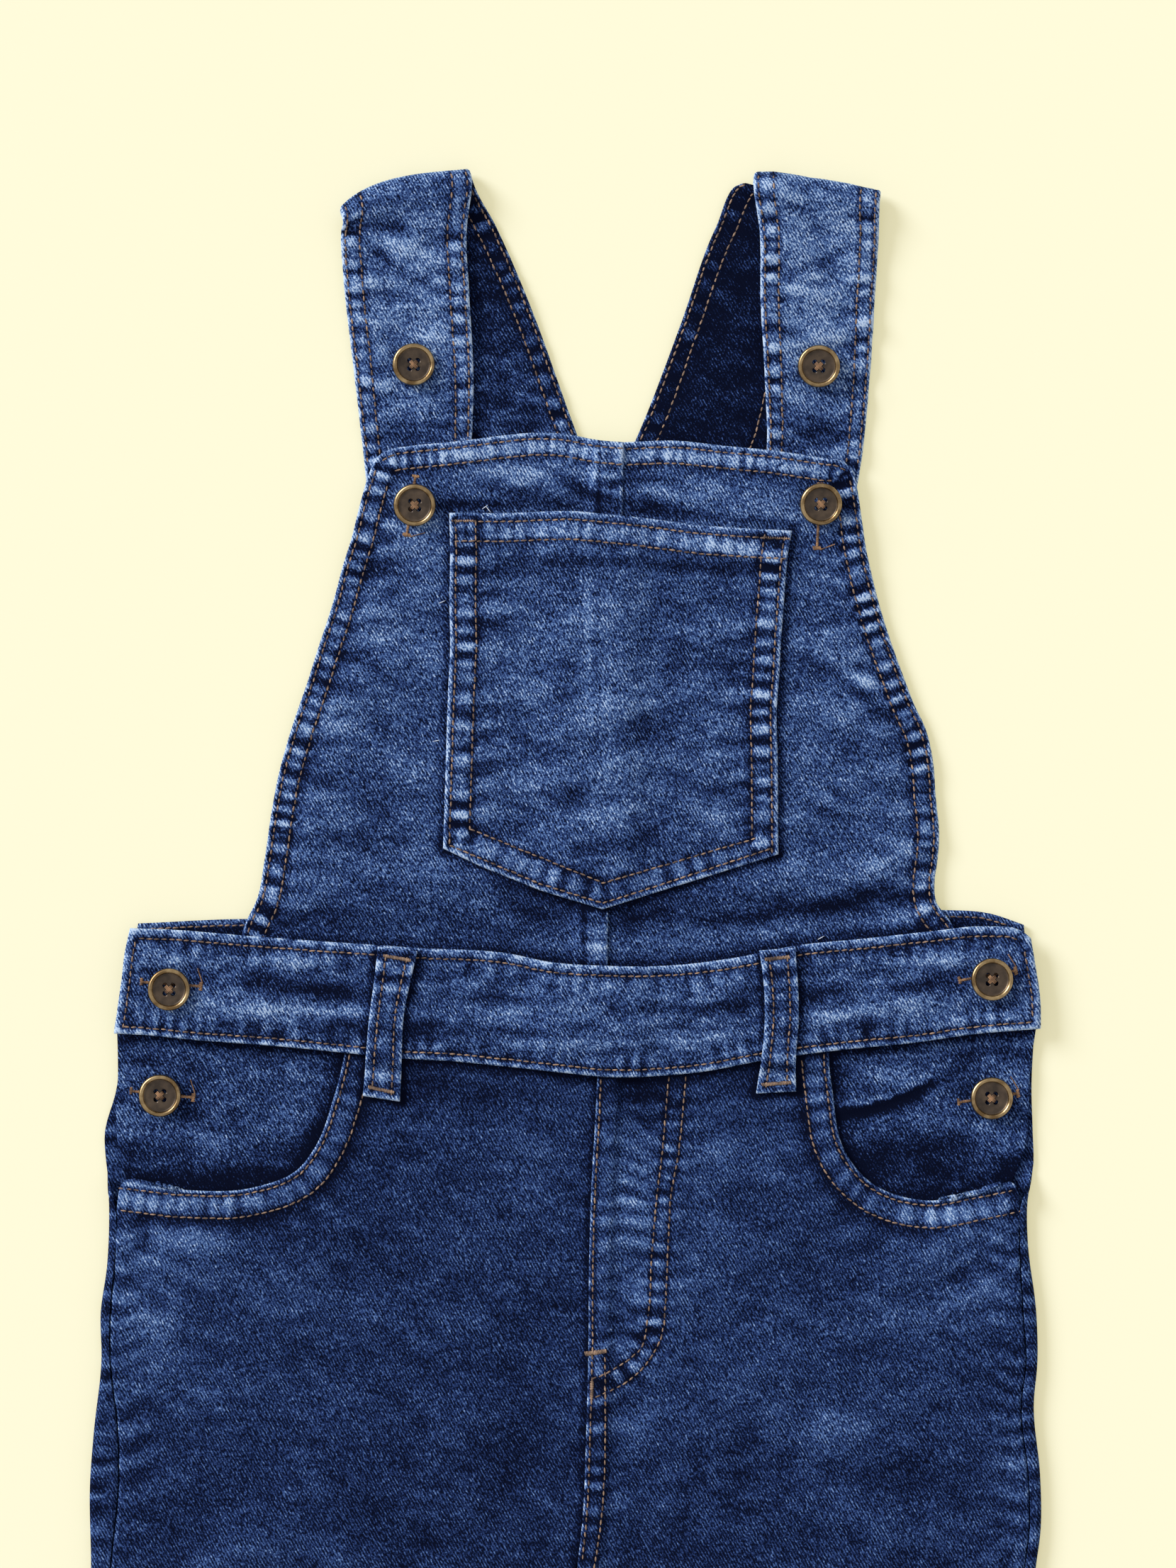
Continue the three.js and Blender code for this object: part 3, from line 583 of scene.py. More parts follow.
CENTRE = [
    (11.7, 212), (11.5, 206), (10.6, 185), (9.4, 165), (8.4, 135), (8.1, 101), (7.3, 72), (6.2, 45),
    (4.4, 28), (2, 14),
]
# Guessed, because they lie below the photo's lower edge
INSEAM_LEFT = [(1, 14), (-8, -40), (-14, -120), (-22, -250), (-31, -400), (-36, -520)]
INSEAM_RIGHT = [(3, 14), (12, -40), (18, -120), (26, -250), (35, -400), (40, -520)]
# Outermost edge, how far in the side seam lies on top, and how far the back has rolled over
SIDE_LEFT = [
    (-156.5, 217.9, 2, 0), (-158.5, 194, 2, 0), (-162.4, 180, 2, 0), (-161.6, 165, 2, 0),
    (-161.3, 159, 2.2, 0.4), (-161.2, 153, 2.6, 1), (-162, 132, 2.6, 1), (-164.2, 116, 3.4, 1),
    (-163.9, 100, 3, 1), (-166.6, 74, 8.4, 1), (-168, 55, 10, 1), (-167.6, 28, 7, 1), (-168, -20, 6, 1),
    (-166.5, -120, 6, 1), (-162, -250, 6, 1), (-157, -400, 6, 1), (-154, -520, 6, 1),
]
SIDE_RIGHT = [
    (165.5, 217.7, 2, 0), (164.4, 194, 2, 0), (164.8, 181, 2, 0), (164.8, 165, 2, 0),
    (163.8, 160, 2.2, 0.4), (163.2, 154, 2.6, 1), (163.4, 141, 2.8, 1), (166.4, 116, 4.6, 1),
    (166.8, 98, 4, 1), (165.5, 84, 4.4, 1), (167.8, 58, 4.2, 1), (168, 40, 4, 1), (166, 24, 4, 1),
    (167.5, -40, 6, 1), (166.5, -120, 6, 1), (162, -250, 6, 1), (158, -400, 6, 1), (155, -520, 6, 1),
]
LOOPS = {
    "left": [
        ((-66, 245.6), (-52, 243.8)), ((-67, 236), (-53.8, 236)), ((-69.2, 219), (-56.8, 221)),
        ((-70.6, 202), (-57.6, 204)), ((-71.4, 192.8), (-58.3, 190.8)),
    ],
    "right": [
        ((68.2, 244.2), (81, 245.2)), ((69.6, 234.5), (81.8, 235)), ((70.2, 220), (82.2, 220)),
        ((69, 206), (81.2, 206)), ((67.2, 193.6), (81.4, 194.4)),
    ],
}
BAND_FOLDS = [
    Fold(-105, 226, 0, 34, 5, 0.8, 0.12), Fold(-12, 215, -4, 46, 4.5, 0.9, 0.15),
    Fold(44, 226, 3, 30, 5, 0.7, 0.15), Fold(112, 225, 4, 26, 5, 0.8, 0.12),
]
BIB_FOLDS = [
    Fold(-40, 268, 8, 48, 7, 1.1, 0.1), Fold(62, 266, 14, 44, 6, 1.3, 0.15),
    Fold(108, 272, 24, 26, 6, 1.4, 0.2), Fold(-86, 330, 32, 30, 8, 0.7, 0.15),
    Fold(103, 322, -34, 30, 7, 0.8, 0.15), Fold(-14, 411, -14, 30, 5, 0.8, 0.2),
    Fold(48, 404, -12, 34, 5, 0.8, 0.2), Fold(14, 330, 90, 40, 10, 0.5, 0.1),
]
LEG_FOLDS = [
    Fold(-132, 142, -38, 26, 7, 1.0, 0.25), Fold(134, 140, 34, 30, 7, 1.1, 0.25),
    Fold(24, 150, 2, 18, 5, 0.7, 0.1), Fold(26, 120, -4, 18, 5, 0.6, 0.1),
    Fold(-60, 60, 26, 60, 16, 1.2, 0.06), Fold(82, 88, -24, 56, 14, 1.2, 0.08),
    Fold(-118, 20, 62, 46, 12, 1.1, 0.05), Fold(124, 18, -58, 48, 12, 1.2, 0.05),
    Fold(-84, -150, 18, 44, 12, 1.2), Fold(92, -168, -16, 44, 12, 1.2), Fold(-96, -262, -10, 40, 10, 1.6),
    Fold(98, -250, 12, 42, 10, 1.6), Fold(-92, -290, 8, 34, 9, 1.2), Fold(102, -284, -9, 34, 9, 1.3),
    Fold(-98, -440, 14, 34, 10, 1.1), Fold(96, -452, -12, 34, 10, 1.1),
]


# Materials


class Node:
    """A shader graph that nodes are added to in one line each."""

    def __init__(self, name: str) -> None:
        """Makes an empty material of that name."""
        self.material = bpy.data.materials.new(name)
        self.material.use_nodes = True
        self.tree = self.material.node_tree
        self.tree.nodes.clear()

    def add(self, kind: str, inputs: dict | None = None, **settings: Any) -> bpy.types.Node:
        """Adds a node.

        Args:
            kind: the node's type, without its ShaderNode prefix.
            inputs: a value or another node's output for each input, by name or number.
            settings: the node's own settings.

        Returns:
            The node.
        """
        node = self.tree.nodes.new("ShaderNode" + kind)
        for key, value in settings.items():
            setattr(node, key, value)
        for key, value in (inputs or {}).items():
            if isinstance(value, bpy.types.NodeSocket):
                self.tree.links.new(value, node.inputs[key])
            else:
                node.inputs[key].default_value = value
        return node

    def surface(self, inputs: dict) -> bpy.types.Material:
        """Ends the graph with a principled shader and gives its material."""
        shader = self.add("BsdfPrincipled", inputs)
        self.add("OutputMaterial", {"Surface": shader.outputs[0]})
        return self.material

    def sum(self, *terms: tuple) -> bpy.types.NodeSocket:
        """The sum of outputs, each with its factor, as in (output, factor)."""
        total = None
        for output, factor in terms:
            inputs = {0: output, 1: factor, 2: total if total else 0.0}
            total = self.add("Math", inputs, operation="MULTIPLY_ADD").outputs[0]
        return total


def linear(code: str) -> tuple[float, float, float, float]:
    """An sRGB colour such as "3d5486" in the linear values that shaders take."""
    parts = [int(code[i : i + 2], 16) / 255 for i in (0, 2, 4)]
    return (*[c / 12.92 if c <= 0.04045 else ((c + 0.055) / 1.055) ** 2.4 for c in parts], 1.0)


@dataclass(frozen=True)
class DenimFinish:
    """Stone-washed denim: cotton twill whose warp is dyed with indigo on the outside only.

    It is matt, in steep slanted lines, flecked by its uneven yarn, pale where the dye is rubbed off, and
    darker where shade is painted on it.
    """

    WEAR_AND_SHADE = 0.4  # how much a value of 1 in the attribute of rubbing and painted shade adds to the tone
    TWILL = 1.0  # millimetres from one twill line to the next, about four warp yarns
    CLOUDS, BLOTS = 0.07, 0.26  # a millimetre: soft patches 14 mm wide, and blots 4 mm wide
    FLECKS, YARN = 1.7, 1.9  # a millimetre: specks and slubs about as wide as a yarn
    SHARES = (0.36, 0.5, 1.05, 1.35, 0.32)  # of clouds, blots, flecks, yarn and twill in the tone
    name: str
    tone: float = 0.5  # how light it is, as a place on the shades
    wash: float = 1.0  # how strong its clouds and blots are
    turn: float = 56.0  # degrees from the x axis to the twill's lines
    drawn: float = 0.62  # below 1, how far clouds and blots are drawn out sideways
    grain: float = 1.0  # how strong its flecks are
    shades: tuple = (
        (0.0, "050a1f"), (0.14, "0c1836"), (0.34, "21325e"), (0.5, "374f81"), (0.66, "526fa0"),
        (0.82, "7d98c1"), (1.0, "b4c7e2"),
    )

    def make(self) -> bpy.types.Material:
        """The denim's material: steep twill, flecked yarn, uneven wash, rubbed seams and painted shade."""
        n = Node(self.name)
        place = n.add("TexCoord").outputs["Object"]
        size = n.add("Mapping", {"Vector": place, "Scale": (1 / MM, 1 / MM, 1 / MM)}).outputs[0]
        wide = n.add("Mapping", {"Vector": size, "Scale": (self.drawn, 1.0, 1.0)}).outputs[0]
        clouds = n.add("TexNoise", {"Vector": wide, "Scale": self.CLOUDS, "Detail": 2.0, "Roughness": 0.55})
        blots = n.add("TexNoise", {"Vector": wide, "Scale": self.BLOTS, "Detail": 3.0, "Roughness": 0.6})
        flecks = n.add("TexNoise", {"Vector": size, "Scale": self.FLECKS, "Detail": 1.0, "Roughness": 0.6})
        across_lines = math.radians(self.turn - 90)
        bias = n.add("Mapping", {"Vector": size, "Rotation": (0, 0, across_lines)}).outputs[0]
        dashes = n.add("Mapping", {"Vector": bias, "Scale": (1.0, 0.4, 1.0)}).outputs[0]
        yarn = n.add("TexNoise", {"Vector": dashes, "Scale": self.YARN, "Detail": 1.0, "Roughness": 0.5})
        waves = {"Scale": math.pi / 10 / self.TWILL, "Distortion": 1.4, "Detail": 2.0, "Detail Scale": 1.4}
        twill = n.add("TexWave", {"Vector": bias, **waves}, wave_type="BANDS", bands_direction="X")
        # the attribute holds each vertex's rubbing and its painted shade
        wear_and_shade = n.add("Attribute", attribute_name="wear_and_shade").outputs["Fac"]
        nodes = (clouds, blots, flecks, yarn, twill)
        strengths = (self.wash, self.wash, self.grain, self.grain, 1.0)
        parts = [(node, share * strength) for node, share, strength in zip(nodes, self.SHARES, strengths)]
        middle = sum(0.5 * factor for _, factor in parts)
        tone = n.sum(*[(node.outputs["Fac"], factor) for node, factor in parts], (wear_and_shade, self.WEAR_AND_SHADE))
        level = n.add("Math", {0: tone, 1: self.tone - middle}, operation="ADD").outputs[0]
        colour = n.add("ValToRGB", {"Fac": level})
        self._fill(colour.color_ramp)
        relief = n.sum((twill.outputs["Fac"], 0.5), (yarn.outputs["Fac"], 0.5), (flecks.outputs["Fac"], 0.4))
        bump = n.add("Bump", {"Strength": 0.5, "Distance": 0.00022, "Height": relief}).outputs[0]
        return n.surface({
            "Base Color": colour.outputs["Color"], "Normal": bump,
            "Roughness": 0.92, "Specular IOR Level": 0.05,
        })

    def _fill(self, scale: bpy.types.ColorRamp) -> None:
        """Puts the shades on a colour ramp."""
        for stop, (position, code) in zip(scale.elements, (self.shades[0], self.shades[-1])):
            stop.position, stop.color = position, linear(code)
        for position, code in self.shades[1:-1]:
            scale.elements.new(position).color = linear(code)


def two_tones(n: Node, scale: float, detail: float, stops: tuple) -> bpy.types.NodeSocket:
    """A colour that changes softly between two.

    Args:
        n: the graph.
        scale: how many patches a metre it has.
        detail: how rough their outlines are.
        stops: two pairs of a level and an sRGB colour.

    Returns:
        The colour's output.
    """
    place = n.add("TexCoord").outputs["Object"]
    patches = n.add("TexNoise", {"Vector": place, "Scale": scale, "Detail": detail}).outputs["Fac"]
    colour = n.add("ValToRGB", {"Fac": patches})
    for stop, (position, code) in zip(colour.color_ramp.elements, stops):
        stop.position, stop.color = position, linear(code)
    return colour.outputs["Color"]


@dataclass(frozen=True)
class ThreadFinish:
    """Spun sewing thread: dull, and a little lighter or darker from stitch to stitch."""

    PATCHES = 420.0  # a metre, so that one is about as long as a stitch
    name: str
    light: str
    dark: str

    def make(self) -> bpy.types.Material:
        """The thread's material."""
        n = Node(self.name)
        colour = two_tones(n, self.PATCHES, 2.0, ((0.34, self.dark), (0.66, self.light)))
        return n.surface({"Base Color": colour, "Roughness": 0.7})


@dataclass(frozen=True)
class MetalFinish:
    """Antique brass: darkened metal, rubbed bright in soft patches."""

    PATCHES = 260.0  # a metre, so that a button has about two across
    name: str
    colour: str
    worn: str
    roughness: float
    metallic: float

    def make(self) -> bpy.types.Material:
        """The metal's material."""
        n = Node(self.name)
        colour = two_tones(n, self.PATCHES, 3.0, ((0.36, self.colour), (0.7, self.worn)))
        return n.surface({"Base Color": colour, "Roughness": self.roughness, "Metallic": self.metallic})


class Wardrobe:
    """All the materials, made once."""

    def __init__(self) -> None:
        """Makes them."""
        self.legs = DenimFinish("denim_legs", tone=0.235, wash=0.4, turn=61, grain=0.85).make()
        self.bib = DenimFinish("denim_bib", tone=0.405, wash=0.6, turn=60).make()
        self.pocket = DenimFinish("denim_pocket", tone=0.405, wash=0.7, turn=62).make()
        self.band = DenimFinish("denim_band", tone=0.31, wash=0.9, turn=60, drawn=0.34).make()
        self.facing = DenimFinish("denim_facing", tone=0.295, turn=60, drawn=0.5).make()
        self.strap = DenimFinish("denim_strap", tone=0.53, wash=0.9, turn=60).make()
        self.back = DenimFinish("denim_back", tone=0.34, turn=-56).make()
        self.thread = ThreadFinish("thread_tan", "a2856e", "4a3a33").make()
        self.brown = ThreadFinish("thread_brown", "a8805c", "60452f").make()
        self.white = ThreadFinish("thread_white", "dfe6f2", "aebbd2").make()
        self.rim = MetalFinish("antique_brass_rim", "7c6343", "c2a87e", 0.3, 1.0).make()
        self.face = MetalFinish("dark_brass_face", "3c322a", "5b4c3e", 0.42, 0.55).make()


# Pieces


@dataclass(frozen=True)
class Piece:
    """What a finished mesh is: its name, slot and the CAD nodes it stands for. A sheet has its flat size in
    metres as well.
    """

    name: str
    slot: str
    replaces: tuple = ()
    flat: tuple | None = None
    area: float = 0.0
    rests_on: tuple = ()


def added(name: str, data: bpy.types.ID) -> bpy.types.Object:
    """A new object of the scene, for a mesh, a light or a camera."""
    made = bpy.data.objects.new(name, data)
    bpy.context.scene.collection.objects.link(made)
    return made


def meshed(shape: bmesh.types.BMesh, name: str) -> bpy.types.Mesh:
    """A mesh of what a bmesh holds. The bmesh is given up."""
    mesh = bpy.data.meshes.new(name)
    shape.to_mesh(mesh)
    shape.free()
    return mesh


def finish(piece: Piece, mesh: bpy.types.Mesh, *materials: bpy.types.Material) -> bpy.types.Object:
    """Makes the object for a mesh, smooths it, puts it under the root and hides the CAD nodes it stands for.

    Args:
        piece: its name, slot and the CAD nodes it stands for.
        mesh: its mesh, in metres.
        materials: its materials, in the order of the mesh's material numbers.

    Returns:
        The object.
    """
    for material in materials:
        mesh.materials.append(material)
    mesh.shade_smooth()
    made = added(piece.name, mesh)
    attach(made, "root")
    if piece.replaces:
        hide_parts(*piece.replaces)
    LOG.info("%s: %d faces", piece.name, len(mesh.polygons))
    return made


def sheet(node: str, flat: tuple, area: float, *rests_on: str, slot: str = "denim") -> Piece:
    """A sheet of cloth that stands for one CAD node.

    Args:
        node: the CAD node.
        flat: its flat size in metres.
        area: its area in square metres.
        rests_on: what it lies on.
        slot: its material slot.

    Returns:
        The piece.
    """
    return Piece(f"{node}_cloth", slot, (node,), flat, area, rests_on)


def grid(name: str, across: Array, along: Array) -> tuple[bpy.types.Mesh, Array, Array]:
    """A grid mesh, with the stations of each of its vertices.

    Args:
        name: the mesh's name.
        across: stations from the left edge, 0, to the right one, 1.
        along: stations from the top, 0, to the bottom, 1.

    Returns:
        The mesh, and each vertex's station across and along.
    """
    shape = bmesh.new()
    bmesh.ops.create_grid(shape, x_segments=len(across) - 1, y_segments=len(along) - 1, size=0.5)
    mesh = meshed(shape, name)
    places = np.empty(len(mesh.vertices) * 3)
    mesh.vertices.foreach_get("co", places)
    x, y = places.reshape(-1, 3)[:, 0], places.reshape(-1, 3)[:, 1]
    column = np.rint((x - x.min()) / np.ptp(x) * (len(across) - 1)).astype(int)
    row = np.rint((y.max() - y) / np.ptp(y) * (len(along) - 1)).astype(int)
    return mesh, across[column], along[row]


def put(mesh: bpy.types.Mesh, places: Array, wear_and_shade: Array) -> None:
    """Moves a mesh's vertices to places in millimetres and stores their tone for rubbing and painted shade.
    """
    mesh.vertices.foreach_set("co", (places * MM).astype(np.float32).ravel())
    mesh.attributes.new("wear_and_shade", "FLOAT", "POINT").data.foreach_set("value", wear_and_shade.astype(np.float32))
    mesh.update()


def thicken(made: bpy.types.Object, thickness: float, offset: float = -1.0) -> None:
    """Gives a sheet its wall, on the side away from its normals unless told otherwise."""
    solid = made.modifiers.new("wall", "SOLIDIFY")
    solid.thickness = thickness * MM
    solid.offset = offset
    solid.use_rim = True


@dataclass(frozen=True)
class Cut:
    """A panel's four edges as it lies. Left and right run down, top and bottom run to the right."""

    left: Line
    right: Line
    top: Line
    bottom: Line

    def place(self, s: Array, t: Array) -> Array:
        """Points of the panel at stations across and along, blended from its edges."""
        left, right = (edge.at(t * edge.length) for edge in (self.left, self.right))
        top, bottom = (edge.at(s * edge.length) for edge in (self.top, self.bottom))
        s, t = s[:, None], t[:, None]
        first = (self.top.points[0] * (1 - s) + self.top.points[-1] * s) * (1 - t)
        last = (self.bottom.points[0] * (1 - s) + self.bottom.points[-1] * s) * t
        return (1 - t) * top + t * bottom + (1 - s) * left + s * right - first - last


class Panel:
    """A panel of cloth that lies nearly flat."""

    REACH = 0.9  # how far to both sides the slope under a small thing is taken

    def __init__(self, cut: Cut, skin: Skin, ply: float = Ply.SINGLE) -> None:
        """Keeps what the panel is.

        Args:
            cut: its edges.
            skin: its outer face.
            ply: its thickness.
        """
        self.cut = cut
        self.skin = skin
        self.ply = float(ply)

    def build(
        self, piece: Piece, across: Array, along: Array, material: bpy.types.Material
    ) -> bpy.types.Object:
        """The panel's object.

        Args:
            piece: what it is in the table.
            across: its stations across.
            along: its stations along.
            material: its cloth.

        Returns:
            The object, with its wall.
        """
        mesh, s, t = grid(piece.name, across, along)
        flat = self.cut.place(s, t)
        height, wear_and_shade = self.skin(flat[:, 0], flat[:, 1])
        put(mesh, np.column_stack([flat, height]), wear_and_shade)
        made = finish(piece, mesh, material)
        thicken(made, self.ply)
        return made

    def lie(self, x: Array, y: Array, turn: Array, sink: float = 0.0) -> list[Matrix]:
        """Where small things lie on the panel.

        Args:
            x, y: their places.
            turn: the directions of their X axes, in radians.
            sink: how far they sink into the cloth.

        Returns:
            A placement for each.
        """
        x, y, turn = (np.atleast_1d(np.asarray(value, float)) for value in (x, y, turn))
        dx, dy = np.cos(turn) * self.REACH, np.sin(turn) * self.REACH
        height, _ = self.skin(np.concatenate([x, x - dx, x + dx]), np.concatenate([y, y - dy, y + dy]))
        middle, behind, ahead = height.reshape(3, -1)
        return [
            Matrix.Translation(Vector((px, py, pz - sink)))
            @ Matrix.Rotation(angle, 4, "Z")
            @ Matrix.Rotation(-math.atan2(rise, 2 * self.REACH), 4, "Y")
            for px, py, pz, angle, rise in zip(x, y, middle, turn, ahead - behind)
        ]


class Strip:
    """A strap that folds over on itself, given by a table of sections with a point at both of its edges."""

    STEP = 1.2  # the largest distance between two sections
    REACH = 0.6  # how far ahead and behind the strap's direction is taken
    CROWN, CROWN_REACH = 0.64, 14  # 1 puts the bow's peak in the middle; how far along the bow fades out
    LIFT = 0.4  # how much higher the run that faces down lies
    FLOOR_GAP = 0.02
    EDGE = 1.2  # how far in from its edges it gets thinner
    LEVELS, THINNEST = 10, 0.25

    def __init__(self, rows: Sequence, skin: Skin, ply: float = Ply.STRAP) -> None:
        """Joins the sections.

        Args:
            rows: pairs of points, at its first and its second edge.
            skin: its face, over millimetres across and along it.
            ply: its thickness.
        """
        self.ply = float(ply)
        self.skin = skin
        self.bow, self.fold_at = 0.0, 0.0
        both = curve([(*row[0], *row[1]) for row in rows], self.STEP)
        self.first, self.second = both[:, :3], both[:, 3:]
        middle = (self.first + self.second) / 2
        steps = np.linalg.norm(np.diff(middle, axis=0), axis=1)
        self.along = np.concatenate([[0.0], np.cumsum(steps)])
        self.length = float(self.along[-1])
        self.width = float(np.linalg.norm(self.second - self.first, axis=1).mean())

    def point(self, across: Array, along: Array) -> Array:
        """Points of the strap's middle layer, across and along it in millimetres."""
        share = (across / self.width)[:, None]
        first, second = (
            np.stack([np.interp(along, self.along, edge[:, k]) for k in range(3)], axis=-1)
            for edge in (self.first, self.second)
        )
        places = first * (1 - share) + second * share
        crown = np.sin(np.pi * np.clip(share[:, 0], 0, 1) ** self.CROWN)
        places[:, 1] += self.bow * crown * hill(along - self.fold_at, self.CROWN_REACH)
        return places

    def normal(self, across: Array, along: Array) -> Array:
        """Directions out of the strap's outer face."""
        ahead = self.point(across, np.minimum(along + self.REACH, self.length))
        way = ahead - self.point(across, np.maximum(along - self.REACH, 0))
        over = self.point(across * 0 + self.width, along) - self.point(across * 0, along)
        out = np.cross(over, way)
        return out / np.linalg.norm(out, axis=1)[:, None]

    def middle(self, across: Array, along: Array) -> Array:
        """Points of the middle layer with its relief, which always rises towards the face on top."""
        out = self.normal(across, along)
        up = np.clip(3 * out[:, 2], -1, 1)
        lift = self.LIFT * np.clip(-2 * out[:, 2], 0, 1)
        places = self.point(across, along) + out * (up * self.skin(across, along)[0])[:, None]
        places[:, 2] = np.maximum(places[:, 2] + lift, self.ply / 2 + self.FLOOR_GAP)
        return places

    def build(
        self, piece: Piece, across: Array, along: Array, material: bpy.types.Material
    ) -> bpy.types.Object:
        """The strap's object, with a wall that gets thinner towards its edges. See Panel.build."""
        mesh, s, t = grid(piece.name, across, along)
        u, v = s * self.width, (1 - t) * self.length
        put(mesh, self.middle(u, v), self.skin(u, v)[1])
        made = finish(piece, mesh, material)
        inward = np.clip(np.minimum(u, self.width - u) / self.EDGE, 0, 1)
        group = made.vertex_groups.new(name="thickness")
        for level in range(self.LEVELS + 1):
            close = np.flatnonzero(np.rint(np.sqrt(1 - (1 - inward) ** 2) * self.LEVELS) == level)
            group.add([int(i) for i in close], max(self.THINNEST, level / self.LEVELS), "REPLACE")
        thicken(made, self.ply, 0.0)
        made.modifiers["wall"].vertex_group = group.name
        return made

    def lie(self, x: Array, y: Array, turn: Array, sink: float = 0.0) -> list[Matrix]:
        """Where small things lie on whichever face of the strap is on top. See Panel.lie."""
        u, v, turn = (np.atleast_1d(np.asarray(value, float)) for value in (x, y, turn))
        out = self.normal(u, v)
        side = np.where(out[:, 2] > 0, 1.0, -1.0)[:, None]
        spot = self.middle(u, v) + out * side * (self.ply / 2 - sink)
        du, dv = np.cos(turn) * 0.8, np.sin(turn) * 0.8
        way = self.point(u + du, v + dv) - self.point(u - du, v - dv)
        way /= np.linalg.norm(way, axis=1)[:, None]
        up = out * side
        over = np.cross(up, way)
        return [
            Matrix.Translation(Vector(where)) @ Matrix(np.column_stack(axes).tolist()).to_4x4()
            for where, *axes in zip(spot, way, over, up)
        ]


class Sewing:
    """Thread on top of the cloth, gathered into one mesh."""

    STITCH = (1.22, 0.37, 0.3)  # half sizes
    PITCH = 2.62
    STRAY = 0.05  # how unevenly stitches lie, in millimetres and in radians
    SLANT = 0.07  # how far a lockstitch turns away from its row

    def __init__(self, name: str) -> None:
        """Starts with no stitch."""
        self.name = name
        self.placements = []
        self.rng = np.random.default_rng(SEED)

    def stitch(self, where: Matrix, size: tuple[float, float, float]) -> None:
        """One rounded stitch of given half sizes."""
        self.placements.append(np.array(where @ Matrix.Diagonal((*size, 1))))

    def row(self, cloth: Panel | Strip, line: Line, start: float = 0.0, end: float | None = None) -> None:
        """A row of lockstitch.

        Args:
            cloth: what it is sewn on.
            line: where it runs.
            start: where it starts along the line.
            end: where it ends along the line, or None for its end.
        """
        along = np.arange(start + self.PITCH / 2, line.length if end is None else end, self.PITCH)
        places = line.at(along) + self.rng.normal(0, self.STRAY, (len(along), 2))
        turns = self._turns(line, along) + self.rng.normal(self.SLANT, self.STRAY, len(along))
        sizes = np.array(self.STITCH) * self.rng.uniform(0.9, 1.08, (len(along), 3))
        for where, size in zip(cloth.lie(*places.T, turns, sink=0.02), sizes):
            self.stitch(where, size)

    @staticmethod
    def _turns(line: Line, along: Array) -> Array:
        """The line's directions, in radians."""
        way = line.at(np.minimum(along + 1, line.length)) - line.at(np.maximum(along - 1, 0))
        return np.arctan2(way[:, 1], way[:, 0])

    def satin(
        self, cloth: Panel | Strip, line: Line, width: float, pitch: float = 0.5, size: float = 0.3
    ) -> None:
        """Close stitches across a line, as on a bar tack or a buttonhole.

        Args:
            cloth: what it is sewn on.
            line: where it runs.
            width: the stitches' usual length.
            pitch: the distance between them.
            size: half their thickness.
        """
        along = np.arange(pitch / 2, line.length, pitch)
        turns = self._turns(line, along) + math.pi / 2 + self.rng.normal(0.15, 0.12, len(along))
        halves = width / 2 * self.rng.uniform(0.85, 1.12, len(along))
        for where, half in zip(cloth.lie(*line.at(along).T, turns, sink=-0.08), halves):
            self.stitch(where, (half, size, size * 1.1))

    def build(self, piece: Piece, material: bpy.types.Material) -> bpy.types.Object:
        """The thread's object: one small ball, drawn out and laid down once for each stitch."""
        ball = bmesh.new()
        bmesh.ops.create_uvsphere(ball, u_segments=6, v_segments=4, radius=1)
        corners = np.array([(*spot.co, 1) for spot in ball.verts])
        faces = [[spot.index for spot in face.verts] for face in ball.faces]
        ball.free()
        spots = np.einsum("sij,pj->spi", np.array(self.placements), corners)[..., :3] * MM
        starts = range(0, len(spots) * len(corners), len(corners))
        corners_of = [[i + start for i in face] for start in starts for face in faces]
        mesh = bpy.data.meshes.new(piece.name)
        mesh.from_pydata(spots.reshape(-1, 3).tolist(), [], corners_of)
        LOG.info("%s: %d stitches", self.name, len(spots))
        return finish(piece, mesh, material)


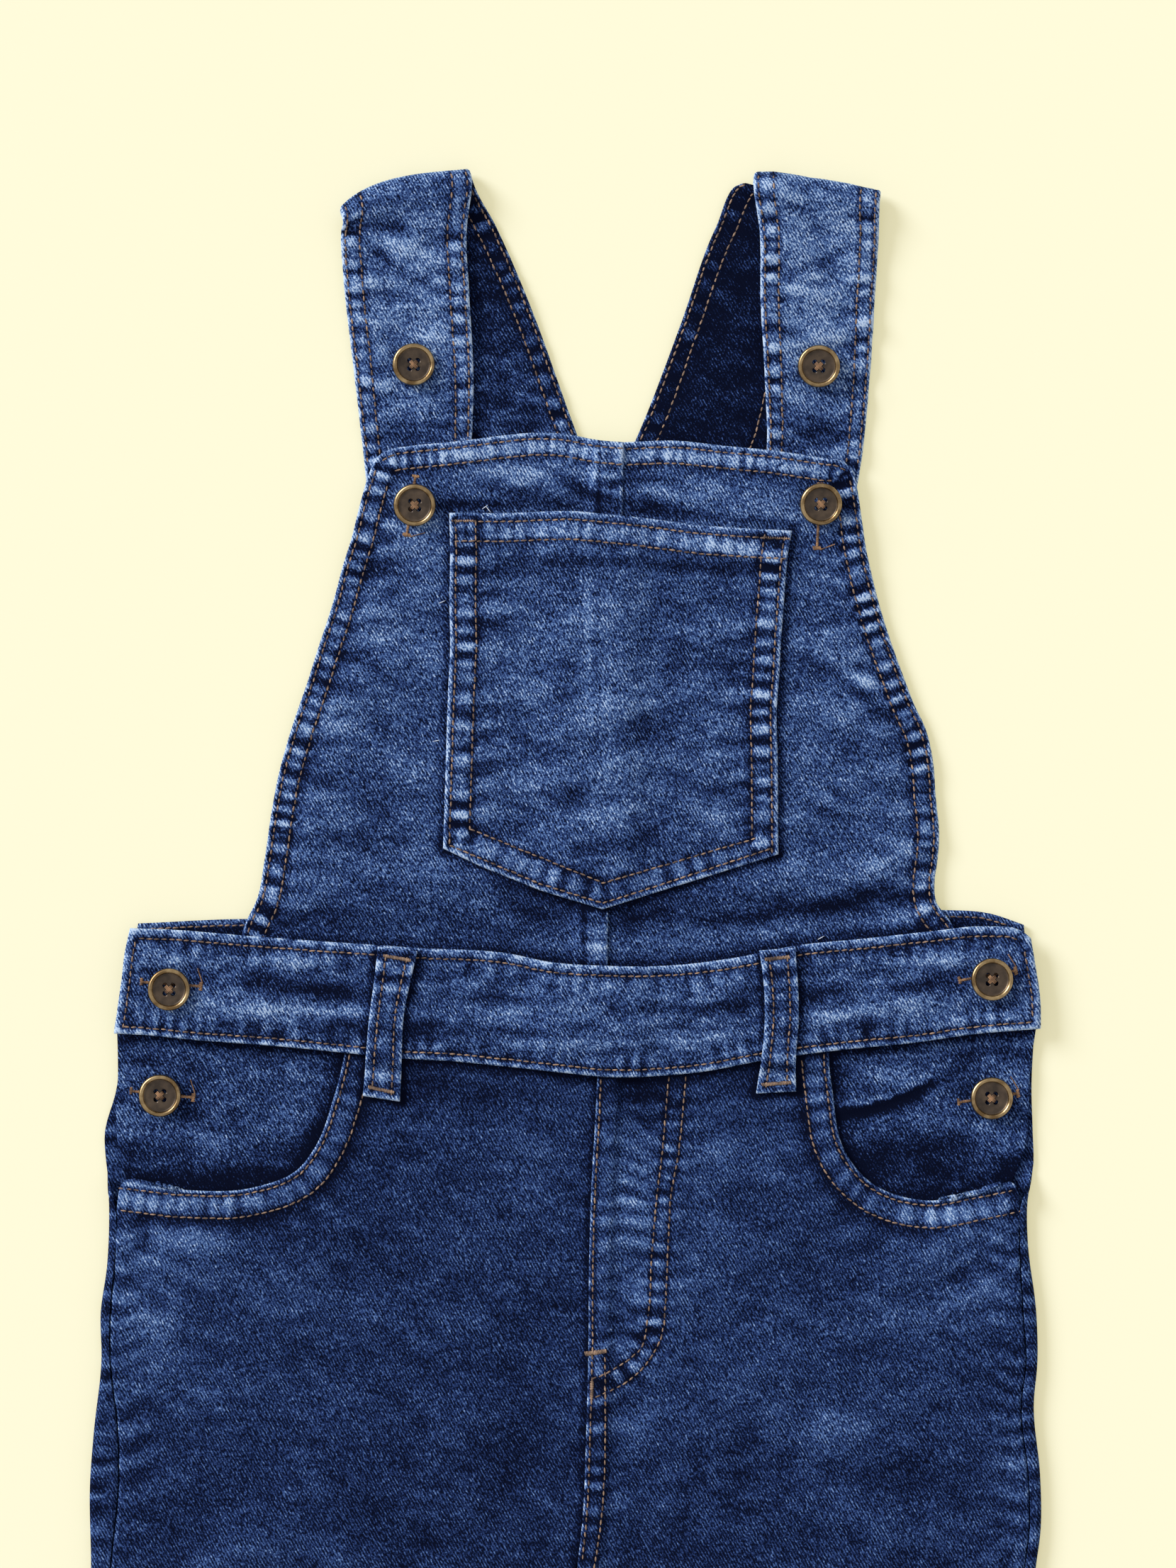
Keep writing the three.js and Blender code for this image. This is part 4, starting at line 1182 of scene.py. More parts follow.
@dataclass
class Bib:
    """Front bib in two lapped halves, its pocket and the plain back bib."""

    wardrobe: Wardrobe
    tan: Sewing
    side_rows: tuple[float, float] = (1.9, 7.6)  # how far in from an edge its stitch rows lie
    top_rows: tuple[float, float] = (2.3, 7.9)
    pocket_side_rows: tuple[float, float] = (2.2, 9.2)
    pocket_top_rows: tuple[float, float] = (3, 10)

    def __post_init__(self) -> None:
        """Lays the lines and the panels out."""
        self.left_edge, self.right_edge = Line(BIB_LEFT), Line(BIB_RIGHT)
        self.top_left, self.top_right = Line(BIB_TOP_LEFT), Line(BIB_TOP_RIGHT)
        self.seam = Line(BIB_SEAM)
        self.pocket_lines = [Line(POCKET_LEFT), Line(POCKET_RIGHT), Line(POCKET_TOP)]
        self.pocket_bottom = Line(POCKET_BOTTOM, smooth=False)
        self.left = self._half(Side.LEFT)
        self.right = self._half(Side.RIGHT)
        self.pocket = self._pocket()

    def base(self, x: Array, y: Array) -> Array:
        """Height of the bib without its seams and hems."""
        inset = np.minimum(self.left_edge.nearest(x, y, 20)[0], self.right_edge.nearest(x, y, 20)[0])
        over_straps = 1.8 * ramp(365, 410, y) * (hill(x + 38, 24) + hill(x - 72, 24))
        droop = 1.5 * (1 - ramp(0, 18, inset)) * (1 - ramp(356, 388, y)) * ramp(256, 272, y)
        return Height.BIB + over_straps - droop

    def _under_pocket(self, x: Array, y: Array) -> Array:
        """0 under the middle of the pocket and 1 away from it."""
        return 1 - ramp(-42, -34, x) * (1 - ramp(70, 77, x)) * ramp(262, 276, y) * (1 - ramp(388, 397, y))

    def _half(self, side: Side) -> Panel:
        """One half of the front bib, with its rows sewn."""
        edge = side.pick(self.left_edge, self.right_edge)
        top = side.pick(self.top_left, self.top_right)
        inward = side.sign
        near, far = self.side_rows
        side_rows = [edge.beside(inward * near, 3), edge.beside(inward * far, 7)]
        near, far = self.top_rows
        top_rows = side.pick(
            [top.beside(near, 2), top.beside(far, 7)], [top.beside(near, 8, 3), top.beside(far, 8, 8)]
        )
        seed = side.pick(1, 2)

        def fade(x: Array, y: Array) -> Array:
            """1 where the bib shows, 0 under the pocket and the waistband."""
            return self._under_pocket(x, y) * ramp(240, 256, y)

        features = [
            *BIB_FOLDS,
            Sway(26, 0.22, 0.1, seed, mask=fade),
            Sway(9, 0.06, 0.09, seed + 10, mask=fade),
            TurnedEdge(edge, 7.8),
            TurnedEdge(top, 8.2, 0.3, 0.7),
            *[Groove(row) for row in side_rows + top_rows],
            Pucker(edge.beside(inward * 4.8), 3.2, 1.6, 6.4, 0.45, 1.0, seed),
            Pucker(edge.beside(inward * 9), 4, 12, 11, 0.22, 0.3, seed + 4, 0.3),
            Pucker(top.beside(5), 3, 2, 5.5, 0.16, 0.5, seed + 6),
            *self._washes_and_shade(side),
            # painted shadows round the pocket's sides and bottom, above its top, and under the waistband's
            # top edge
            *[
                PaintedShadowOrRubLine(Line(line, smooth=False), 2.0, -0.85)
                for line in (POCKET_LEFT, POCKET_RIGHT, POCKET_BOTTOM)
            ],
            PaintedShadowOrRubLine(Line([(-48, 401), (-6, 401.5), (40, 398), (82, 394)]), 1.6, -0.5),
            PaintedShadowOrRubLine(Line(BAND_TOP), 3.2, -0.9),
            PaintedShadowOrRubLine(top.beside(4.5), 4.0, 0.7),
            WashAndShadePatch(13, 262, 90, 9, -0.6),
        ]
        if side is Side.LEFT:
            features += [
                Step(self._lap),
                TurnedEdge(self.seam, 8.5, 0.0, 0.7),
                Groove(self.seam.beside(8.4), 0.2),
                Pucker(self.seam.beside(4), 4, 3, 7, 0.16, 0.4, 21),
            ]
            cut = Cut(edge, self.seam, top, Line([(-116, 238), (-50, 231), (14.9, 229)]))
        else:
            # a painted shadow on the right half beside the edge of the left half's lap
            features += [Step(self._underlap), WashAndShadePatch(24, 330, 3, 120, -0.35)]
            under = Line([(x - 7.5, y) for x, y in BIB_SEAM])
            cut = Cut(under, edge, top, Line([(7.4, 229), (80, 232), (139, 238.5)]))
        panel = Panel(cut, Skin(self.base, features))
        for row in side_rows + top_rows:
            self.tan.row(panel, row)
        return panel

    def _lap(self, x: Array, y: Array) -> Array:
        """How much higher the left half lies along the seam, over the right one."""
        return 1.5 * (1 - ramp(9, 14, self.seam.nearest(x, y)[0]))

    def _underlap(self, x: Array, y: Array) -> Array:
        """How much lower the right half lies behind the seam."""
        seam_x = self.seam.at(np.interp(y, [229, 423], [194, 0]))[..., 0]
        return -0.35 * (1 - ramp(0, 1.5, x - seam_x))

    @staticmethod
    def _washes_and_shade(side: Side) -> list[WashAndShadePatch]:
        """Lighter and darker places: wash marks, rubbed ridges, and painted shade beside and under creases
        and pleats.
        """
        if side is Side.LEFT:
            return [
                WashAndShadePatch(5.3, 406.9, 12, 2.4, -1.1, -24), WashAndShadePatch(-11.8, 404.9, 14, 3, -0.6, -10),
                WashAndShadePatch(-37, 402, 8, 2.5, -0.5), WashAndShadePatch(-10.5, 412, 7, 2, 0.5, -15), WashAndShadePatch(11, 413, 2.5, 9, 0.6),
                WashAndShadePatch(-28, 412, 12, 2, 0.3), WashAndShadePatch(-64.4, 354.2, 14, 3.5, 0.45, 8), WashAndShadePatch(-71, 367, 6, 3, 0.4),
                WashAndShadePatch(-64, 342, 12, 3.5, -0.4, -20), WashAndShadePatch(-81, 326, 8, 5, 0.35), WashAndShadePatch(-65, 296, 14, 7, -0.3),
                WashAndShadePatch(-79, 284, 14, 3, -0.35), WashAndShadePatch(-80, 255, 14, 4, -0.6),
                WashAndShadePatch(-38, 262, 16, 2.5, 0.25, -10), WashAndShadePatch(-60, 246, 26, 3, 0.2, -3),
                WashAndShadePatch(-30, 252, 22, 2.4, -0.4, -4), WashAndShadePatch(-52, 388, 8, 10, 0.2), WashAndShadePatch(11, 245, 2, 8, 0.5),
                WashAndShadePatch(-10, 256, 9, 1.6, -0.5, -14),
            ]
        return [
            WashAndShadePatch(29, 410, 8, 1.8, -0.65), WashAndShadePatch(31.7, 401, 9, 2.5, -0.95, -12),
            WashAndShadePatch(34, 405.5, 9, 1.6, 0.5, -18), WashAndShadePatch(60, 405, 18, 4, 0.1, -8),
            WashAndShadePatch(104, 339.8, 12, 2, 0.75, -32), WashAndShadePatch(86.9, 346, 9, 2, -0.6, -20),
            WashAndShadePatch(106, 333, 9, 2, -0.65, -38), WashAndShadePatch(89.6, 300, 9, 2, 0.45, -30),
            WashAndShadePatch(88, 295, 8, 2, -0.45, -28), WashAndShadePatch(93, 260, 24, 2.4, -1.0, 9),
            WashAndShadePatch(60, 255, 14, 2.2, -0.6, 2), WashAndShadePatch(108, 273, 16, 2.2, 0.5, 26),
            WashAndShadePatch(112, 267, 14, 2, -0.6, 24), WashAndShadePatch(60, 250, 30, 3, 0.2, 6),
            WashAndShadePatch(120, 256, 10, 2.5, 0.35, 10), WashAndShadePatch(28, 256, 9, 1.8, -0.6, 12), WashAndShadePatch(92, 372, 7, 12, 0.15),
            WashAndShadePatch(100, 316, 10, 7, -0.3),
        ]

    def _pocket(self) -> Panel:
        """The bib pocket, with its rows and corner tacks sewn."""
        left, right, top = self.pocket_lines
        bottom = self.pocket_bottom
        inner_bottom = Line([(-33.9, 287), (13.4, 267.9), (66.4, 283.4)], smooth=False)
        outer_points = [(-41, 281.3), (-9, 267.6), (13.1, 260.8), (33, 267), (73.2, 280.2)]
        outer_bottom = Line(outer_points, smooth=False)
        near, far = self.pocket_side_rows
        top_near, top_far = self.pocket_top_rows
        rows = [
            top.beside(top_near, 2, 2), top.beside(top_far, 1.5, 1.5), left.beside(-near, 2),
            left.beside(-far, 2.6, 6.5), right.beside(near, 2), right.beside(far, 2.6, 5),
            inner_bottom, outer_bottom,
        ]

        def lap(x: Array, y: Array) -> Array:
            """How much the pocket lifts over the lap of the bib's seam."""
            return 1.5 * ramp(-12, 1, x) * (1 - ramp(20, 32, x))

        features = [
            *BIB_FOLDS,
            Step(lap),
            Sway(24, 0.2, 0.12, 31),
            Sway(8, 0.05, 0.1, 32),
            TurnedEdge(left, 9.4, 0.3, 0.95),
            TurnedEdge(right, 9.4, 0.3, 0.75),
            TurnedEdge(top, 10.4, 0.35, 0.75),
            TurnedEdge(bottom, 9.0, 0.3, 0.9),
            *[Groove(row) for row in rows],
            Pucker(left.beside(-5.8), 3.2, 1.2, 7.4, 0.36, 0.85, 33),
            Pucker(right.beside(5.8), 3.2, 1.2, 7.0, 0.36, 0.85, 34),
            Pucker(left.beside(-9.5), 3, 15, 11, 0.16, 0.3, 35, 0.15),
            Pucker(right.beside(9.5), 3, 17, 10, 0.18, 0.34, 36, -0.15),
            Pucker(top.beside(6.5), 3, 1.5, 5.4, 0.12, 0.36, 37),
            Pucker(bottom.beside(-5.5), 3.5, 1.5, 6.2, 0.16, 0.42, 38),
            PaintedShadowOrRubLine(top.beside(6), 4.5, 0.35),
            PaintedShadowOrRubLine(left.beside(-1.1), 0.9, 0.2),
            PaintedShadowOrRubLine(right.beside(1.1), 0.9, 0.2),
            WashAndShadePatch(-10, 381.5, 30, 2.6, -0.6, -1), WashAndShadePatch(42, 379.5, 32, 2.4, -0.7, -3),
            WashAndShadePatch(-26, 359.5, 7, 3, -0.7), WashAndShadePatch(-19, 350, 14, 5, 0.3, 6), WashAndShadePatch(51, 326, 9, 5, 0.2),
            WashAndShadePatch(43, 331, 8, 1.5, -0.45, 10), WashAndShadePatch(22.4, 282, 18, 4.5, -0.65), WashAndShadePatch(11, 292, 14, 4, 0.45),
            WashAndShadePatch(55, 292, 8, 4, 0.45), WashAndShadePatch(-2, 301, 8, 4, -0.3), WashAndShadePatch(51, 300, 9, 3, -0.35),
            WashAndShadePatch(8, 350, 2, 34, 0.3), WashAndShadePatch(14.5, 350, 1.6, 34, 0.2), WashAndShadePatch(11.3, 350, 1.1, 34, -0.25),
            WashAndShadePatch(-14, 372, 14, 4, 0.15), WashAndShadePatch(38, 352, 16, 7, -0.15), WashAndShadePatch(-24, 325, 9, 3, 0.3),
            WashAndShadePatch(-26, 292, 7, 4, 0.25), WashAndShadePatch(-24, 286, 8, 3, -0.2),
        ]
        skin = Skin(lambda x, y: self.base(x, y) + POCKET_RISE, features)
        panel = Panel(Cut(left, right, top, bottom), skin)
        for row in rows:
            self.tan.row(panel, row)
        self.tan.satin(panel, Line([(-40.2, 395.4), (-32, 395.5)]), 0.9, 0.8, 0.34)
        self.tan.satin(panel, Line([(70.4, 389.6), (78.8, 389.2)]), 0.9, 0.8, 0.34)
        return panel

    def build(self) -> None:
        """Builds the bib's objects."""
        cloth = self.wardrobe
        along = gathered(175, 0.35)
        left = sheet("bib_left", (0.137, 0.198), 0.0213, "strap_left", "bib_back")
        right = sheet("bib_right", (0.132, 0.195), 0.0209, "strap_right", "bib_back")
        pocket = sheet("bib_pocket", (0.123, 0.14), 0.0151, "bib_left_cloth")
        self.left.build(left, gathered(110), along, cloth.bib)
        self.right.build(right, gathered(110), along, cloth.bib)
        self.pocket.build(pocket, gathered(132), gathered(142, 0.5), cloth.pocket)
        cut = Cut(
            Line([(-29.5, 400.4), (-34, 370), (-50, 320), (-72, 280), (-92, 255.1)]),
            Line([(60, 400.4), (64, 370), (80, 320), (102, 281), (120, 258.2)]),
            Line([(-29.5, 400.4), (60, 400.4)]),
            Line([(-92, 255.1), (14, 251.4), (120, 258.2)]),
        )
        back = sheet("bib_back", (0.213, 0.15), 0.0198, slot="denim_inside")
        Panel(cut, Skin(lambda x, y: Height.BACK, [], -0.5)).build(
            back, gathered(40), gathered(34), cloth.back
        )


@dataclass
class Waist:
    """Waistbands and belt loops."""

    wardrobe: Wardrobe
    tan: Sewing
    legs: "Legs"  # the belt loops' feet lie on them
    top_row: float = 3.5  # how far in from an edge its stitch row lies
    bottom_row: float = 2.6
    end_row: float = 3
    loop_row: float = 3.1
    back_row: float = 2.2

    def __post_init__(self) -> None:
        """Lays the lines and the panels out."""
        self.top, self.bottom = Line(BAND_TOP), Line(BAND_BOTTOM)
        self.ends = [Line(BAND_LEFT), Line(BAND_RIGHT)]
        self.band = self._band()
        self.loops = {side: self._loop(side) for side in Side}

    @staticmethod
    def base(x: Array, y: Array) -> Array:
        """Height of the front waistband, which lifts over the laps of the bib and the fly."""
        return Height.BAND + (CENTRE_LAP + 0.1) * ramp(-16, -3, x) * (1 - ramp(23, 36, x)) + 0 * y

    def _band(self) -> Panel:
        """The front waistband, with its rows sewn."""
        rows = [
            self.top.beside(self.top_row, 3, 3), self.bottom.beside(-self.bottom_row, 3, 3),
            self.ends[0].beside(-self.end_row, 4, 3), self.ends[1].beside(self.end_row, 4, 3),
        ]
        features = [
            *BAND_FOLDS,
            Sway(22, 0.2, 0.14, 41, (2.2, 0.6)),
            Sway(8, 0.06, 0.12, 42, (1.6, 0.8)),
            TurnedEdge(self.top, 36, 0.0, 0.9),
            TurnedEdge(self.bottom, 36, 0.0, 0.9),
            *[TurnedEdge(end, 8, 0.1, 0.8) for end in self.ends],
            *[Groove(row) for row in rows],
            Pucker(self.top.beside(4), 1.5, 8, 7, 0.13, 0.3, 43),
            Pucker(self.bottom.beside(-3), 1.5, 8, 6.5, 0.15, 0.36, 44),
            PaintedShadowOrRubLine(self.top.beside(1.5), 1.3, 0.5),
            PaintedShadowOrRubLine(self.bottom.beside(-1.1), 1.1, 0.55),
            PaintedShadowOrRubLine(self.ends[0].beside(-1.4), 1.2, 0.4),
            PaintedShadowOrRubLine(self.ends[1].beside(1.4), 1.2, 0.4),
            # painted shadows along both sides of the belt loops
            *[PaintedShadowOrRubLine(Line([row[k] for row in LOOPS[side][:4]]), 1.8, -0.95) for side in LOOPS for k in (0, 1)],
            # creases across the waistband: rubbed light ridges, painted shade in and beside them, and wash
            # marks
            WashAndShadePatch(12, 222, 46, 16, -0.14), Fold(-112, 224.2, -1, 30, 1.7, 0.35, 0.4),
            Fold(-84, 222.6, -2, 16, 1.5, 0.3, 0.4), Fold(-128, 227, -14, 12, 1.6, 0.25, 0.25),
            Fold(-46, 221, -16, 12, 1.6, 0.3, 0.25), Fold(-26, 219, -7, 24, 1.6, 0.35, 0.3),
            Fold(-34, 230, -4, 13, 2.0, 0.25, 0.25), Fold(6, 224, 3, 15, 1.5, 0.25, 0.25),
            Fold(36, 219.4, 9, 22, 1.5, 0.35, 0.35), Fold(22, 211.6, 2, 30, 1.8, 0.3, 0.32),
            Fold(54, 214.4, 10, 14, 1.6, 0.25, 0.25), Fold(100, 221.6, 12, 22, 1.6, 0.35, 0.35),
            Fold(128, 224.5, 3, 26, 1.7, 0.35, 0.35), Fold(112, 233.4, 7, 20, 1.7, 0.3, 0.22),
            Fold(141, 219.5, 4, 18, 1.6, 0.25, 0.3), Fold(-140, 243.5, -3, 14, 1.6, 0.25, 0.2),
            Fold(-100, 240, -5, 20, 1.6, 0.25, 0.2), WashAndShadePatch(-89, 230.4, 26, 2.5, -1.25, -5),
            WashAndShadePatch(-108.5, 234.5, 6, 3, -0.6), WashAndShadePatch(-79, 217.6, 11, 2.8, -1.05),
            WashAndShadePatch(-120, 218, 14, 1.8, -0.5, -3), WashAndShadePatch(-94, 223.7, 26, 2.2, 0.45, -2),
            WashAndShadePatch(-133, 241, 22, 3.5, 0.25), WashAndShadePatch(-140, 222, 12, 3, 0.3), WashAndShadePatch(-95, 237, 14, 2.5, 0.15),
            WashAndShadePatch(-75.5, 240, 8, 2.5, -0.6), WashAndShadePatch(-50, 217, 8, 5, -0.8), WashAndShadePatch(-54, 231.6, 3, 8, -0.5),
            WashAndShadePatch(-21, 227.3, 14, 1.6, -0.65, -2), WashAndShadePatch(-20, 222.5, 22, 2, 0.3, -4),
            WashAndShadePatch(1.7, 234.5, 14, 5, 0.3), WashAndShadePatch(-8.5, 214.6, 22, 1.8, -0.5, -4),
            WashAndShadePatch(-12, 211.5, 24, 2, 0.2, -4), WashAndShadePatch(55, 224.2, 12, 2.6, -0.85, 8),
            WashAndShadePatch(62, 230, 8, 2, -0.6, 4), WashAndShadePatch(16, 230, 18, 4, 0.25), WashAndShadePatch(37, 213.5, 26, 2, 0.35, 3),
            WashAndShadePatch(47, 216.5, 8, 1.5, -0.5), WashAndShadePatch(6, 217, 10, 1.8, -0.4), WashAndShadePatch(92.6, 228.8, 10, 3, -0.85, 8),
            WashAndShadePatch(124.5, 231.6, 16, 2.3, -0.8, 4), WashAndShadePatch(106.8, 218, 9, 2.5, -0.85, 5),
            WashAndShadePatch(95, 221, 6, 3, 0.35), WashAndShadePatch(134.7, 222.5, 20, 3, 0.4, 3), WashAndShadePatch(98, 235, 14, 2.5, 0.2, 5),
            WashAndShadePatch(127, 241, 14, 3, 0.25, 4), WashAndShadePatch(154, 222, 4, 3, -0.3),
        ]
        panel = Panel(Cut(*self.ends, self.top, self.bottom), Skin(self.base, features), Ply.BAND)
        for row in rows:
            self.tan.row(panel, row)
        return panel

    def _loop(self, side: Side) -> Panel:
        """One belt loop over the waistband and the leg below it, with its rows and tacks sewn."""
        rows = LOOPS[side]
        left, right = Line([row[0] for row in rows]), Line([row[1] for row in rows])
        top, bottom = Line(rows[0]), Line(rows[-1])

        def base(x: Array, y: Array) -> Array:
            """Height of the loop, which steps down from the waistband to the leg."""
            foot = np.interp(x, [p[0] for p in BAND_BOTTOM], [p[1] for p in BAND_BOTTOM])
            over = ramp(-5.5, -1.0, y - foot)
            return (self.base(x, y) * over + self.legs.plain(x, y) * (1 - over)) + LOOP_RISE

        sewn = [left.beside(-self.loop_row, 2.5, 2.5), right.beside(self.loop_row, 2.5, 2.5)]
        features = [
            TurnedEdge(left, 20, 0.0, 0.8, 1.1, 0.6),
            TurnedEdge(right, 20, 0.0, 0.8, 1.1, 0.6),
            TurnedEdge(top, 20, 0.0, 0.7, 1.1, 0.6),
            TurnedEdge(bottom, 20, 0.0, 0.9, 1.1, 0.6),
            *[Groove(row, 0.22) for row in sewn],
            Pucker(left.beside(-6.3), 6, 2, 8, 0.14, 0.4, side.pick(45, 46)),
            Sway(9, 0.05, 0.14, 47),
        ]
        panel = Panel(Cut(left, right, top, bottom), Skin(base, features), Ply.LOOP)
        for row in sewn:
            self.tan.row(panel, row)
        for (first, second), inset in ((rows[0], -3.2), (rows[-1], 3.2)):
            ends = [(first[0] + 2, first[1] + inset), (second[0] - 2, second[1] + inset)]
            self.tan.satin(panel, Line(ends), 1.5, 0.55, 0.34)
        return panel

    def build(self) -> None:
        """Builds the waist's objects."""
        cloth = self.wardrobe
        front = sheet("waistband_front", (0.328, 0.053), 0.0124, "leg_front_left_cloth")
        self.band.build(front, gathered(300, 0.3), gathered(42, 0.5), cloth.band)
        for side, loop in self.loops.items():
            piece = sheet(f"belt_loop_{side}", (0.0145, 0.056), 0.00068, "waistband_front_cloth")
            loop.build(piece, gathered(20), gathered(64, 0.4), cloth.band)
        top = Line([
            (-151, 253.5), (-113, 255), (-50, 252), (15, 250), (80, 253), (134, 258.2), (150, 257),
            (162, 253),
        ])
        bottom = Line([
            (-156, 219), (-113, 217.5), (-50, 215), (15, 212.2), (80, 215), (134, 217.5), (165, 218.7),
        ])
        # a rubbed light top edge, and a painted shadow below it where the front waistband's top edge lies
        # over it
        features = [
            Sway(16, 0.05, 0.1, 48), PaintedShadowOrRubLine(top.beside(0.5), 0.9, 0.8), PaintedShadowOrRubLine(top.beside(4.5), 3.2, -0.8),
        ]
        back = Panel(
            Cut(Line([(-151, 253.5), (-156, 219)]), Line([(162, 253), (165, 218.5)]), top, bottom),
            Skin(lambda x, y: Height.BACK_BAND, features),
            Ply.BAND,
        )
        self.tan.row(back, top.beside(self.back_row, 4, 5))
        piece = sheet("waistband_back", (0.322, 0.047), 0.0118)
        back.build(piece, gathered(120), gathered(16), cloth.band)


@dataclass
class Legs:
    """Front and back of both legs, and the pocket facings."""

    wardrobe: Wardrobe
    tan: Sewing
    mouth_rows: tuple[float, float] = (1.8, 9.6)  # how far in from the hip pockets' openings

    def __post_init__(self) -> None:
        """Lays the lines and the panels out."""
        self.mouths = {side: Line(side.pick(MOUTH_LEFT, MOUTH_RIGHT)) for side in Side}
        self.fronts = {side: self._front(side) for side in Side}
        self.facings = {side: self._facing(side) for side in Side}

    @staticmethod
    def plain(x: Array, y: Array) -> Array:
        """Height of the front legs away from their edges."""
        total = np.full(np.shape(x), float(Height.LEG))
        for fold in LEG_FOLDS:
            total = total + fold.relief(x, y)[0] * ramp(206, 196, y)
        return total

    def _front(self, side: Side) -> Panel:
        """The front of one leg, with its rows sewn."""
        sign = side.sign
        inseam_points = side.pick(INSEAM_LEFT, INSEAM_RIGHT)
        inseam = Line(inseam_points)
        rows = side.pick(SIDE_LEFT, SIDE_RIGHT)
        mouth = self.mouths[side]
        seam = [
            (x - sign * (max(ROLL + SEAM_GAP, inset) + SEAM_GAP), y)
            for x, y, inset, roll in rows
            if roll == 1
        ]
        side_seam = Line(seam)
        outer = Line([*side.pick(MOUTH_LEFT, MOUTH_RIGHT), *seam])
        underlap = [(x + 4.5 * float(ramp(24, 46, y)), y) for x, y in CENTRE[:-1]]
        inner = Line([*side.pick(underlap, CENTRE[:-1]), *inseam_points])
        inner_gap = Line([*CENTRE[:-1], *inseam_points])

        def base(x: Array, y: Array) -> Array:
            """Height of the leg, which falls towards the inner seam below the crotch."""
            gap, _ = side.pick(inner, inner_gap).nearest(x, y, 32)
            fall = (Height.LEG - 2.4 - CLEAR) * (1 - ramp(0, 9, gap)) * (1 - ramp(-10, 30, y))
            folds = sum(fold.relief(x, y)[0] for fold in LEG_FOLDS)
            hem = 0.8 * (1 - ramp(-502, -500, y))
            return Height.LEG - fall + folds * ramp(2, 30, gap) * ramp(206, 196, y) + hem

        def shown(x: Array, y: Array) -> Array:
            """1 where the leg shows, 0 under the waistband and at the side seam."""
            return ramp(206, 198, y) * ramp(1, 12, side_seam.nearest(x, y)[0])

        near, far = self.mouth_rows
        rows_sewn = [mouth.beside(sign * near, 4), mouth.beside(sign * far, 6)]
        seed = side.pick(61, 71)
        features = [
            Sway(30, 0.28, 0.06, seed, (1.8, 0.9), shown),
            Sway(11, 0.06, 0.08, seed + 1, (1.6, 0.8), shown),
            TurnedEdge(mouth, 9.8, 0.5, 0.95),
            TurnedEdge(side_seam, 4, 0.0, 0.5, 1.4, 0.5),
            *[Groove(row) for row in rows_sewn],
            Pucker(mouth.beside(sign * 5.6), 3.2, 2, 7.5, 0.2, 0.36, seed + 2),
            PaintedShadowOrRubLine(mouth.beside(sign * 4.2), 3.0, 0.22),
            Pucker(mouth.beside(sign * 12), 2, 12, 12, 0.2, 0.16, seed + 3),
            Pucker(side_seam.beside(sign * 3), 4, 9, 9, 0.2, 0.34, seed + 4, 0.4),
            Pucker(inseam.beside(sign * -4), 4, 8, 9, 0.2, 0.3, seed + 5, 0.3),
            # painted shadows under the waistband, beyond the pocket opening's hem, and along and below the
            # belt loops' feet
            PaintedShadowOrRubLine(Line(BAND_BOTTOM), 2.6, -1.0),
            PaintedShadowOrRubLine(mouth.beside(sign * 12.5), 2.0, -0.3),
            *[PaintedShadowOrRubLine(Line([pair[k] for pair in LOOPS[side][2:]]), 1.8, -0.85) for k in (0, 1)],
            PaintedShadowOrRubLine(Line(LOOPS[side][-1]), 1.8, -0.9),
        ]
        features += [
            WashAndShadePatch(fold.x, fold.y, fold.length, fold.width, fold.wear_and_shade, fold.turn) for fold in LEG_FOLDS
        ]
        if side is Side.LEFT:
            # a painted shadow on the left leg beside the edge of the fly's lap
            features += [PaintedShadowOrRubLine(Line(CENTRE), 1.8, -0.8), *self._left_washes_and_shade()]
        else:
            features += self._right_side()
        top = Line([(inner.points[0][0], 212), (mouth.points[0][0], 212)])
        hem = Line([(inner.points[-1][0], -520), (outer.points[-1][0], -520)])
        if side is Side.LEFT:
            cut = Cut(outer, inner, self._turned(top), self._turned(hem))
        else:
            cut = Cut(inner, outer, top, hem)
        features += [TurnedEdge(hem, 20, 0.0, 0.7), Groove(hem.beside(sign * -19))]
        panel = Panel(cut, Skin(base, features))
        for row in rows_sewn:
            self.tan.row(panel, row)
        if side is Side.RIGHT:
            for row in self.fly_rows:
                self.tan.row(panel, row)
            self.tan.satin(panel, Line([(6.9, 101.9), (14.6, 103)]), 1.9, 0.55, 0.36)
            self.tan.satin(panel, Line([(9.4, 92.4), (9.2, 85.6)]), 1.6, 0.6, 0.34)
        return panel

    @staticmethod
    def _turned(line: Line) -> Line:
        """The line walked the other way."""
        return Line(line.points[::-1], smooth=False)

    @staticmethod
    def _left_washes_and_shade() -> list[WashAndShadePatch]:
        """Lighter and darker places on the left leg: wash marks, rubbed folds, and painted shade under the
        waistband and along the leg's side.
        """
        return [
            WashAndShadePatch(-126, 155.5, 34, 4, 0.55), WashAndShadePatch(-132, 143, 22, 4, 0.5, -6),
            WashAndShadePatch(-148, 114, 15, 32, 0.5, 8), Fold(-142, 133, -22, 20, 2.2, 0.4, 0.45),
            Fold(-146, 122, -30, 16, 2, -0.3, 0.4), Fold(-136, 112, -16, 22, 2.4, 0.3, 0.3),
            WashAndShadePatch(-88, 118, 32, 10, 0.2, -6), WashAndShadePatch(-98, 88, 24, 12, 0.2), WashAndShadePatch(-163, 90, 4, 50, -0.3),
            WashAndShadePatch(-12, 165, 12, 16, 0.2), WashAndShadePatch(-60, 196, 44, 5, -0.35, -5), WashAndShadePatch(-60, 50, 60, 22, -0.1),
            WashAndShadePatch(-20, 70, 16, 40, -0.15), WashAndShadePatch(-110, 30, 24, 9, 0.15, 10), WashAndShadePatch(-66, 172, 14, 10, -0.15),
            WashAndShadePatch(-80, 70, 90, 60, -0.08),
        ]

